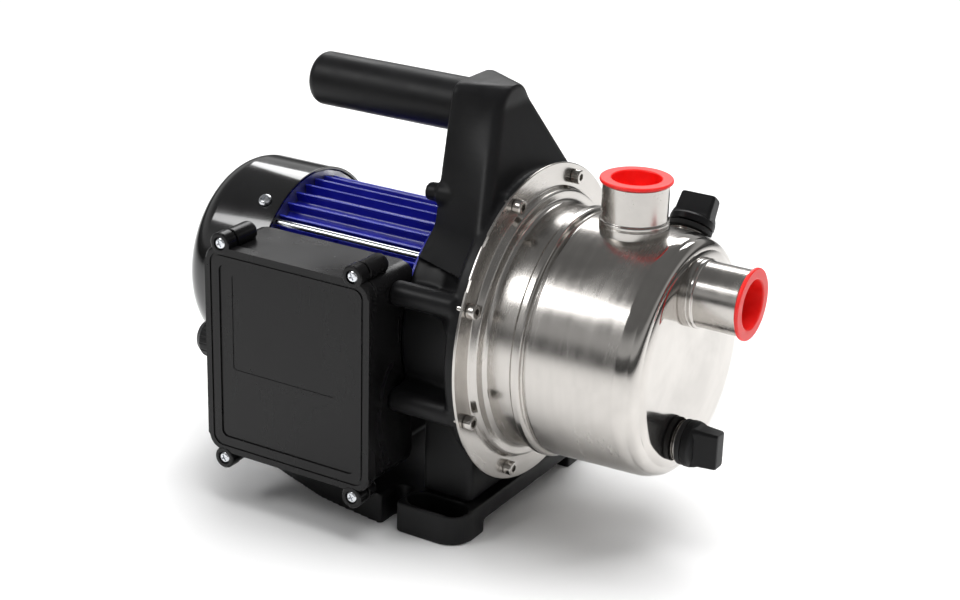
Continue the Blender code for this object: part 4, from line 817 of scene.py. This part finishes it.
def make_plugs():
    along = (PRIMING_X - BEAD_X) / (CASING_FACE_X - SHOULDER_R - BEAD_X)
    surface = NECK_R + (FRONT_R - NECK_R) * along + GAP
    direction = priming_direction()
    make_plug_set("priming", Vector((PRIMING_X, 0, 0)) + direction * surface, direction, 0.0)
    _, y, z = drain_spot()
    make_plug_set("drain", Vector((CASING_FACE_X, y, z)), (1, 0, 0), 0.0)


# Screws


def hexagon(radius, turn=0.0):
    return [
        (radius * math.cos(math.radians(60 * i) + turn), radius * math.sin(math.radians(60 * i) + turn))
        for i in range(6)
    ]


def cross_cutter(matrix, reach, width, depth, top):
    arms = []
    for turn in (0, math.pi / 2):
        spin_arm = matrix @ Matrix.Rotation(turn, 4, "Z")
        low = (-reach, -width / 2, top - depth)
        high = (reach, width / 2, top + 2)
        arms.append(block("arm", low, high, 0.1, matrix=spin_arm))
    return arms


def bolt_spots():
    """Turn of each flange screw about the shaft, from +Y towards +Z."""
    return [math.radians(360 / SCREW_COUNT * (index + 0.5)) for index in range(SCREW_COUNT)]


def make_flange_screws():
    head_r = 4.2
    shank_r = 2.5
    top = SCREW_HIGH.x
    for index, angle in enumerate(bolt_spots()):
        node = f"flange_screw_{index + 1}"
        spot = radial(angle) * SCREW_CIRCLE_R
        path = [
            (0, top),
            (head_r, top, 0.9),
            (head_r, GAP, 0.2),
            (shank_r, GAP, 0.2),
            (shank_r, SCREW_LOW.x),
            (0, SCREW_LOW.x),
        ]
        screw = turned(node + "_skin", path, spot, steps=48)
        socket = bmesh.new()
        prism(socket, hexagon(2.3, index), top - 2.6, top + 1, axis_matrix(spot, (1, 0, 0)))
        cut(screw, new_object("socket", socket))
        show(screw, node, sharp=math.radians(30))


def pan_screw(node, spot, direction, head_low, head_high, head_r, shank_r, tip, roll=0.5):
    """A cross recessed screw with a domed head."""
    path = [
        (0, head_high),
        (head_r * 0.7, head_high, 1.5),
        (head_r, head_low + (head_high - head_low) * 0.5, 0.6),
        (head_r, head_low, 0.2),
        (shank_r, head_low, 0.1),
        (shank_r, tip),
        (0, tip),
    ]
    screw = turned(node + "_skin", path, spot, direction, 48)
    matrix = axis_matrix(spot, direction, roll)
    cut(screw, *cross_cutter(matrix, head_r * 0.58, head_r * 0.26, 1.2, head_high))
    show(screw, node, sharp=math.radians(30))


# Bracket and handle


def column_front_width(z):
    """Half width at the front: straight sides that touch the ring and the round top."""
    if z > GRIP_Z + COLUMN_FRONT_R * math.sin(COLUMN_TILT):
        return math.sqrt(max(0.0, COLUMN_FRONT_R**2 - (z - GRIP_Z) ** 2))
    return (RING_R - z * math.sin(COLUMN_TILT)) / math.cos(COLUMN_TILT)


def column_rear_width(z):
    """Half width at the rear: round corners, then a taper that spreads into the drum."""
    if z > COLUMN_CORNER_Z:
        rounding = math.sqrt(max(0.0, COLUMN_CORNER_R**2 - (z - COLUMN_CORNER_Z) ** 2))
        return COLUMN_REAR_HALF - COLUMN_CORNER_R + rounding
    taper = COLUMN_REAR_HALF + COLUMN_TAPER * (COLUMN_CORNER_Z - z)
    hollow = FILLET_R**2 - (z - FILLET_CENTRE[1]) ** 2
    if z > FILLET_CENTRE[1] or hollow < 0:
        return taper
    return max(taper, FILLET_CENTRE[0] - math.sqrt(hollow))


def column_row(front_z, rear_z):
    """A section of the column that tilts from rear_z at its back to front_z at its front."""
    lean_start = RING_R * math.sin(math.radians(45))
    lean = COLUMN_LEAN * min(max(0.0, front_z - lean_start) / (GRIP_Z - lean_start), 1.1)
    front_x = BRACKET_HIGH.x - 1.0 - lean
    rear_x = BRACKET_REAR_X + 0.2
    front = max(column_front_width(front_z), 1.0)
    rear = column_rear_width(rear_z)
    corner = min(5.0, front * 0.6)
    outline = rounded_path(
        [(rear_x, -rear, 2.5), (front_x, -front, corner), (front_x, front, corner), (rear_x, rear, 2.5)],
        8,
        closed=True,
    )
    slope = (front_z - rear_z) / (front_x - rear_x)
    return [(x, y, rear_z + (x - rear_x) * slope) for x, y in outline]


def column_rows():
    """Level sections up to where the tops start to round, then sections that follow both roundings."""
    front_rise = GRIP_Z + COLUMN_FRONT_R * math.sin(COLUMN_TILT) - COLUMN_START_Z
    rear_rise = COLUMN_CORNER_Z - COLUMN_START_Z
    straight, rounded = 60, 16
    rows = []
    for i in range(straight):
        share = i / straight
        rows.append(column_row(COLUMN_START_Z + front_rise * share, COLUMN_START_Z + rear_rise * share))
    for i in range(rounded + 1):
        turn = math.radians(90 * i / rounded)
        front_turn = COLUMN_TILT + (math.pi / 2 - COLUMN_TILT) * i / rounded
        front_z = GRIP_Z + COLUMN_FRONT_R * math.sin(front_turn)
        rows.append(column_row(front_z, COLUMN_CORNER_Z + COLUMN_CORNER_R * math.sin(turn)))
    return rows


def make_bracket():
    front_x = BRACKET_HIGH.x
    ring_rear = front_x - RING_DEPTH
    path = [
        (0, front_x),
        (RING_R, front_x, 0.8),
        (RING_R, ring_rear, 1.2),
        (DRUM_R + 2.0, ring_rear - 4.0, 4.0),
        (DRUM_R, BRACKET_REAR_X, 1.5),
        (0, BRACKET_REAR_X),
    ]
    bracket = turned("bracket_skin", path, steps=180)
    column = loft("column", column_rows())
    leg = block(
        "leg",
        (LEG_X[0], -LEG_HALF, BASE_HIGH_FLAT + GAP),
        (LEG_X[1], LEG_HALF, -DRUM_BORE_R * 0.4),
        3.0,
    )
    pieces = [column, leg]
    low = BRACKET_REAR_X + 1.0
    for angle in bolt_spots():
        boss_path = [(0, ring_rear + 2), (BOSS_R, ring_rear + 2), (BOSS_R, low, 1.2), (0, low)]
        pieces.append(turned("boss", boss_path, radial(angle) * BOSS_CIRCLE_R, steps=48))
        if math.sin(angle) > 0.9:
            tip = BRACKET_REAR_X - TOP_BOSS_EXTRA
            tip_path = [(0, low + 5), (BOSS_TIP_R, low + 5), (BOSS_TIP_R, tip, 1.0), (0, tip)]
            pieces.append(turned("tip", tip_path, radial(angle) * BOSS_CIRCLE_R, steps=48))
        web = block(
            "web",
            (low + 2.0, -BOSS_R * 0.9, 66.0),
            (ring_rear + 2.0, BOSS_R * 0.9, BOSS_CIRCLE_R),
            0.5,
            matrix=Matrix.Rotation(angle - math.pi / 2, 4, "X"),
        )
        pieces.append(web)
    weld_on(bracket, *pieces)
    cut(
        bracket,
        hole(DRUM_BORE_R, 2 * BRACKET_REAR_X, 10, steps=160),
        hole(68.4, front_x - 8, 10, steps=160),
        hole(11.4, 2 * BRACKET_REAR_X, BRACKET_REAR_X + 20, (0, 0, GRIP_Z)),
    )
    soften(bracket, 1.15, 7)
    show(bracket, "bracket", sharp=math.radians(60))


def make_handle():
    shoulder = BRACKET_REAR_X - GAP
    path = [
        (0, shoulder + 20),
        (11.0, shoulder + 20),
        (11.0, shoulder, 0.5),
        (GRIP_R, shoulder, 0.5),
        (GRIP_R, GRIP_LOW.x, 6.0),
        (0, GRIP_LOW.x),
    ]
    show(turned("handle_grip_skin", path, (0, 0, GRIP_Z), steps=128, segments=10), "handle_grip")


# Base


def base_outline():
    """Plan of the base: wide front feet with round corners, a slot on each side and a narrowing rear."""
    side = BASE_HIGH.y
    half = [
        (BASE_FRONT_X, 0),
        (BASE_FRONT_X, side, FOOT_CORNER_R),
        (SLOT_X + SLOT_R, side, 1.5),
        (SLOT_X + SLOT_R, SLOT_END_Y, SLOT_R * 0.98),
        (SLOT_X - SLOT_R, SLOT_END_Y, SLOT_R * 0.98),
        (SLOT_X - SLOT_R, side - 2, 1.5),
        (-89.5, 71.0, 10),
        (-107.0, 67.5, 10),
        (BASE_LOW.x, 50.0, 10),
    ]
    mirrored = [(point[0], -point[1], *point[2:]) for point in reversed(half[1:])]
    return rounded_path(half + mirrored, 8, closed=True)


def make_base():
    ground = BASE_LOW.z
    base = slab("base_skin", base_outline(), ground, BASE_HIGH_FLAT, 1.2)
    cradle = block("cradle", (-140, -32, BASE_PLATE_Z + 2), (-88, 32, -44.8), 2.0)
    pieces = [cradle]
    for side in (-1, 1):
        path = [(0, 8.0), (SLOT_R + 4.0, 8.0, 3.0), (SLOT_R + 4.0, 0), (0, 0)]
        pieces.append(turned("arch_rib", path, (SLOT_X, side * 59.0, BASE_HIGH_FLAT - 8.4), (0, 0, 1), 48))
    weld_on(base, *pieces)
    pockets = []
    for side in (-1, 1):
        ends = sorted((side * (LEG_HALF + 1.0), side * (BASE_HIGH.y - FOOT_WALL)))
        low = (SLOT_X + SLOT_R + FOOT_WALL, ends[0], FOOT_FLOOR_Z)
        high = (BASE_FRONT_X - FOOT_WALL, ends[1], 0)
        pockets.append(block("pocket", low, high, FOOT_CORNER_R - FOOT_WALL))
        pockets.append(hole(SLOT_R, -20, 20, (SLOT_X, side * 62.5, ground), (0, 0, 1)))
        slot_ends = sorted((side * 62.5, side * 90))
        slot_low = (SLOT_X - SLOT_R, slot_ends[0], ground - 10)
        slot_high = (SLOT_X + SLOT_R, slot_ends[1], 0)
        pockets.append(block("slot", slot_low, slot_high))
    cut(
        base,
        hole(FIN_R + 0.6, -200, 0, steps=128),
        block("arch", (-300, -50, 2 * ground), (40, 50, BASE_PLATE_Z), 0.0),
        *pockets,
    )
    soften(base, 0.95, 3)
    show(base, "base", sharp=math.radians(60))


# Motor


def fin_outline():
    """The housing's section: thin fins with round crests and round roots."""
    points = []
    root_r = FIN_R - FIN_HEIGHT
    for index in range(FIN_COUNT):
        middle = 2 * math.pi * index / FIN_COUNT
        for offset, radius, fillet in (
            (-FIN_HALF * 1.35, root_r, 1.2),
            (-FIN_HALF, FIN_R, 0.8),
            (FIN_HALF, FIN_R, 0.8),
            (FIN_HALF * 1.35, root_r, 1.2),
        ):
            angle = middle + offset / radius
            points.append((radius * math.cos(angle), radius * math.sin(angle), fillet))
    return rounded_path(points, 5, closed=True)


def make_motor():
    bm = bmesh.new()
    along_x = Matrix.Rotation(math.pi / 2, 4, "Y")
    prism(bm, fin_outline(), HOUSING_LOW.x, HOUSING_HIGH.x, along_x)
    housing = new_object("motor_housing_skin", bm)
    grooves = [hole(46.0, -300, 0, steps=96)]
    for index in range(4):
        spot = radial(math.radians(45 + 90 * index)) * ROD_CIRCLE_R
        grooves.append(hole(ROD_R + 1.6, -300, 0, spot))
    cut(housing, *grooves)
    show(housing, "motor_housing", [CREST_HIGHLIGHT_PAINT], math.radians(50))
    # The faces on the fin crests take the lighter blue: painted highlight along the fin edges
    for face in housing.data.polygons:
        spot = (face.center - ORIGIN) / MM
        if math.hypot(spot.y, spot.z) > FIN_R - 0.45:
            face.material_index = 1
    rod_low, rod_high = size_of("tie_rod_1")
    for index in range(4):
        node = f"tie_rod_{index + 1}"
        head = rod_low.x + 3.0
        path = [
            (0, rod_high.x),
            (ROD_R, rod_high.x, 0.5),
            (ROD_R, head, 0.2),
            (3.8, head, 0.3),
            (3.8, rod_low.x, 0.8),
            (0, rod_low.x),
        ]
        spot = radial(math.radians(45 + 90 * index)) * ROD_CIRCLE_R
        show(turned(node + "_skin", path, spot, steps=40), node)


def make_fan_cover():
    rear = COVER_LOW.x
    wall = COVER_WALL
    path = [
        (COVER_R, COVER_HIGH.x, 0.4),
        (COVER_R, rear, COVER_ROUNDING),
        (0, rear),
        (0, rear + wall),
        (COVER_R - wall, rear + wall, COVER_ROUNDING - wall),
        (COVER_R - wall, COVER_HIGH.x, 0.4),
    ]
    cover = turned("fan_cover_skin", path, steps=192, closed=True, segments=12)
    vents = []
    for index in range(7):
        z = (index - 3) * 9.0
        half = math.sqrt(max(34.0**2 - z**2, 64.0))
        matrix = axis_matrix((rear, 0, z), (1, 0, 0), math.pi / 2)
        vents.append(block("vent", (-half, -1.75, -30), (half, 1.75, 30), 1.7, matrix=matrix))
    screws = [math.radians(COVER_SCREW_ANGLE + 120 * index) for index in range(3)]
    for angle in screws:
        vents.append(hole(2.2, COVER_R - 8, COVER_R + 8, (COVER_SCREW_X, 0, 0), radial(angle)))
    cut(cover, *vents)
    show(cover, "fan_cover", sharp=math.radians(40))
    for index, angle in enumerate(screws):
        node = f"fan_cover_screw_{index + 1}"
        spot = (COVER_SCREW_X, 0, 0)
        pan_screw(node, spot, radial(angle), COVER_R + GAP, COVER_R + 3.0, 4.0, 2.0, COVER_R - 8.0)


# Terminal box


def box_outline(low, high, margin, corner):
    return rectangle(low.x - margin, low.z - margin, high.x + margin, high.z + margin, corner, 8)


def from_lid():
    """Turns an outline in (x, z), extruded along +Z, so that +Z points out of the lid, along -Y."""
    return Matrix.Rotation(math.pi / 2, 4, "X")


# The box's body seen from its lid, and the places of its lugs from that
BODY_BOX = (Vector((-158.5, 0, -80.2)), Vector((-49.0, 0, 43.5)))
LUG_INSET = 9.8
LUG_ABOVE = 3.6
LUG_BELOW = 5.6
UPPER_LUG_BACK = 76.0
LOWER_LUG_BACK = 86.0
LID_Y = LID_LOW.y
RIM_Y = BOX_LOW.y


def lug_spots():
    low, high = BODY_BOX
    left = low.x + LUG_INSET
    right = high.x - LUG_INSET
    top = high.z + LUG_ABOVE
    bottom = low.z - LUG_BELOW
    return [(left, top), (right, top), (right, bottom), (left, bottom)]


def make_terminal_box():
    low, high = BODY_BOX
    body = slab("terminal_box_skin", box_outline(low, high, 0, 8.0), 58.0, -RIM_Y, 1.2, from_lid())
    lugs = []
    for x, z in lug_spots():
        back = UPPER_LUG_BACK if z > 0 else LOWER_LUG_BACK
        path = [(0, -RIM_Y), (6.0, -RIM_Y, 0.6), (6.0, back, 4.0), (0, back)]
        lugs.append(turned("lug", path, (x, 0, z), (0, -1, 0), 48))
    weld_on(body, *lugs)
    hollow = slab("hollow", box_outline(low, high, -2.5, 6.0), 60.5, 200, 0.0, from_lid())
    clear_path = [
        (0, 10),
        (DRUM_R + 0.3, 10),
        (DRUM_R + 0.3, -50.3),
        (59.6, -50.3),
        (59.6, -156.7),
        (COVER_R + 0.3, -156.7),
        (COVER_R + 0.3, -330),
        (0, -330),
    ]
    cut(body, hollow, cutter(clear_path, steps=128), hole(8.1, -166, -150, gland_spot()))
    show(body, "terminal_box")
    lid_back = -LID_HIGH.y
    face = -LID_Y - 0.5
    outline = box_outline(low, high, 1.5, 9.5)
    lid = slab("terminal_box_lid_skin", outline, lid_back, face, 1.6, from_lid(), 4)
    lugs = []
    for x, z in lug_spots():
        path = [(0, -LID_Y), (6.5, -LID_Y, 1.0), (6.5, lid_back, 0.4), (0, lid_back)]
        lugs.append(turned("lug", path, (x, 0, z), (0, -1, 0), 48))
    weld_on(lid, *lugs)
    cuts = [slab("panel", box_outline(low, high, -8.5, 4.0), face - 0.9, 200, 0.0, from_lid())]
    groove = slab("groove", box_outline(low, high, -2.2, 6.5), face - 0.7, 200, 0.0, from_lid())
    keep = slab("keep", box_outline(low, high, -3.6, 5.5), 0, 300, 0.0, from_lid())
    cuts.append(cut(groove, keep))
    label_low = Vector((low.x + 17, 0, low.z + 52))
    label_high = Vector((high.x - 22, 0, high.z - 14))
    label = box_outline(label_low, label_high, 0, 1.5)
    cuts.append(slab("label_seat", label, face - 1.25, 200, 0.0, from_lid()))
    for x, z in lug_spots():
        cuts.append(hole(3.9, -LID_Y - 2.0, 200, (x, 0, z), (0, -1, 0)))
        cuts.append(hole(2.3, 60, 200, (x, 0, z), (0, -1, 0)))
    cut(lid, *cuts)
    bevel(lid, 0.35, 2)
    show(lid, "terminal_box_lid")
    for index, (x, z) in enumerate(lug_spots()):
        head = -LID_Y - 1.7
        pan_screw(f"lid_screw_{index + 1}", (x, 0, z), (0, -1, 0), head, head + 1.6, 3.5, 2.0, head - 14.0)


def gland_spot():
    return (0, (GLAND_LOW.y + GLAND_HIGH.y) / 2, (GLAND_LOW.z + GLAND_HIGH.z) / 2)


def make_gland():
    """Cable gland with a round body and collar and a clamping nut with a domed end, along -X."""
    spot = gland_spot()
    outside = -BODY_BOX[0].x + GAP
    gland_path = [
        (5.0, outside + 17.0),
        (9.1, outside + 17.0, 0.5),
        (9.1, outside + 7.0, 0.3),
        (13.0, outside + 7.0, 0.8),
        (13.0, outside, 0.8),
        (7.8, outside, 0.3),
        (7.8, outside - 5.5, 0.5),
        (5.0, outside - 5.5),
    ]
    gland = turned("cable_gland_skin", gland_path, spot, (-1, 0, 0), 96, closed=True)
    show(gland, "cable_gland")
    low = outside + 7.3
    high = -NUT_LOW.x
    nut_path = [
        (9.0, high, 0.8),
        (12.0, high - 4.5, 2.5),
        (12.0, low, 0.6),
        (9.4, low, 0.2),
        (9.4, high - 3.0, 0.3),
        (5.0, high - 3.0, 0.3),
        (5.0, high, 0.6),
    ]
    nut = turned("gland_nut_skin", nut_path, spot, (-1, 0, 0), 96, closed=True)
    grooves = []
    for index in range(18):
        angle = 2 * math.pi * index / 18
        rim = Vector((0, math.cos(angle), math.sin(angle))) * 12.6 + Vector(spot)
        grooves.append(hole(1.0, low + 1.0, high - 3.5, rim, (-1, 0, 0), 12))
    cut(nut, *grooves)
    show(nut, "gland_nut")


# Studio


def make_floor():
    bm = bmesh.new()
    reach = 6.0
    signs = ((-1, -1), (1, -1), (1, 1), (-1, 1))
    bm.faces.new([bm.verts.new((x * reach, y * reach, cad_box[0][2])) for x, y in signs])
    mesh = bpy.data.meshes.new("floor")
    bm.to_mesh(mesh)
    bm.free()
    floor = bpy.data.objects.new("floor", mesh)
    bpy.context.scene.collection.objects.link(floor)
    tree = Tree("pale_floor").set(Roughness=0.6, Specular_IOR_Level=0.2)
    tone = tree.noise(tree.from_shaft(), 3.0, 2.0, 0.5)
    tree.link(tree.mix(tree.mapped(tone, 0.0, 1.0), (0.90, 0.90, 0.90), (0.93, 0.93, 0.93)), "Base Color")
    floor.data.materials.append(tree.material)


def area_light(name, location, target, size, power):
    light = bpy.data.lights.new(name, "AREA")
    light.shape = "RECTANGLE"
    light.size, light.size_y = size
    light.energy = power
    obj = bpy.data.objects.new(name, light)
    bpy.context.scene.collection.objects.link(obj)
    obj.location = location
    obj.rotation_euler = (Vector(target) - Vector(location)).to_track_quat("-Z", "Y").to_euler()
    return obj


# Brightness of the surroundings by height, from straight down at 0 to straight up at 1
WORLD_TONES = (
    (0.0, 0.70),
    (0.480, 0.70),
    (0.495, 0.06),
    (0.530, 0.10),
    (0.580, 0.16),
    (0.620, 0.62),
    (0.700, 0.56),
    (0.790, 0.20),
    (1.0, 0.22),
)


def make_studio():
    world = bpy.data.worlds.new("studio")
    bpy.context.scene.world = world
    world.use_nodes = True
    nodes, links = world.node_tree.nodes, world.node_tree.links
    coordinates = nodes.new("ShaderNodeTexCoord")
    split = nodes.new("ShaderNodeSeparateXYZ")
    links.new(coordinates.outputs["Generated"], split.inputs[0])
    spread = nodes.new("ShaderNodeMapRange")
    spread.inputs["From Min"].default_value = -1
    links.new(split.outputs["Z"], spread.inputs["Value"])
    ramp = nodes.new("ShaderNodeValToRGB")
    stops = ramp.color_ramp.elements
    while len(stops) < len(WORLD_TONES):
        stops.new(0.5)
    for stop, (position, value) in zip(stops, WORLD_TONES):
        stop.position = position
        stop.color = (value, value, value, 1)
    links.new(spread.outputs["Result"], ramp.inputs["Fac"])
    background = nodes["Background"]
    links.new(ramp.outputs["Color"], background.inputs["Color"])
    background.inputs["Strength"].default_value = 0.8
    overhead = area_light("overhead", ORIGIN + Vector((0.1, 0.2, 1.7)), ORIGIN, (1.8, 1.4), 46)
    overhead.visible_glossy = False
    area_light("key", ORIGIN + Vector((-0.9, -1.0, 1.2)), ORIGIN, (0.7, 0.5), 8)
    area_light("rim", ORIGIN + Vector((-0.6, 1.3, 1.1)), ORIGIN, (1.4, 0.5), 12)


def make_camera():
    """The viewpoint in front of the casing, by its place, bearing, height and roll."""
    camera = bpy.data.cameras.new("camera")
    camera.lens = 75.0
    camera.sensor_width = 36.0
    obj = bpy.data.objects.new("camera", camera)
    bpy.context.scene.collection.objects.link(obj)
    azimuth, elevation, roll = math.radians(30.75), math.radians(21.62), math.radians(1.65)
    level = math.cos(elevation)
    back = Vector((math.sin(azimuth) * level, -math.cos(azimuth) * level, math.sin(elevation)))
    obj.location = ORIGIN + Vector((514.2, -932.3, 434.0)) * MM
    right = Vector((math.cos(azimuth), math.sin(azimuth), 0))
    up = back.cross(right)
    turn = Matrix.Rotation(roll, 3, back)
    right, up = turn @ right, turn @ up
    obj.rotation_euler = Matrix((right, up, back)).transposed().to_euler()
    bpy.context.scene.camera = obj


def keep_inner_nodes():
    """Nodes whose shape is right keep it and get their finish."""
    for name, node in frame["nodes"].items():
        if node.hide_render:
            continue
        for material_slot in node.material_slots:
            material_slot.material = FINISHES[SLOT_OF[name]]


make_casing()
make_ports()
make_plugs()
make_flange_screws()
make_bracket()
make_handle()
make_base()
make_motor()
make_fan_cover()
make_terminal_box()
make_gland()
keep_inner_nodes()
make_floor()
make_studio()
make_camera()
bpy.context.scene.view_settings.view_transform = "Standard"
bpy.context.scene.view_settings.look = "None"
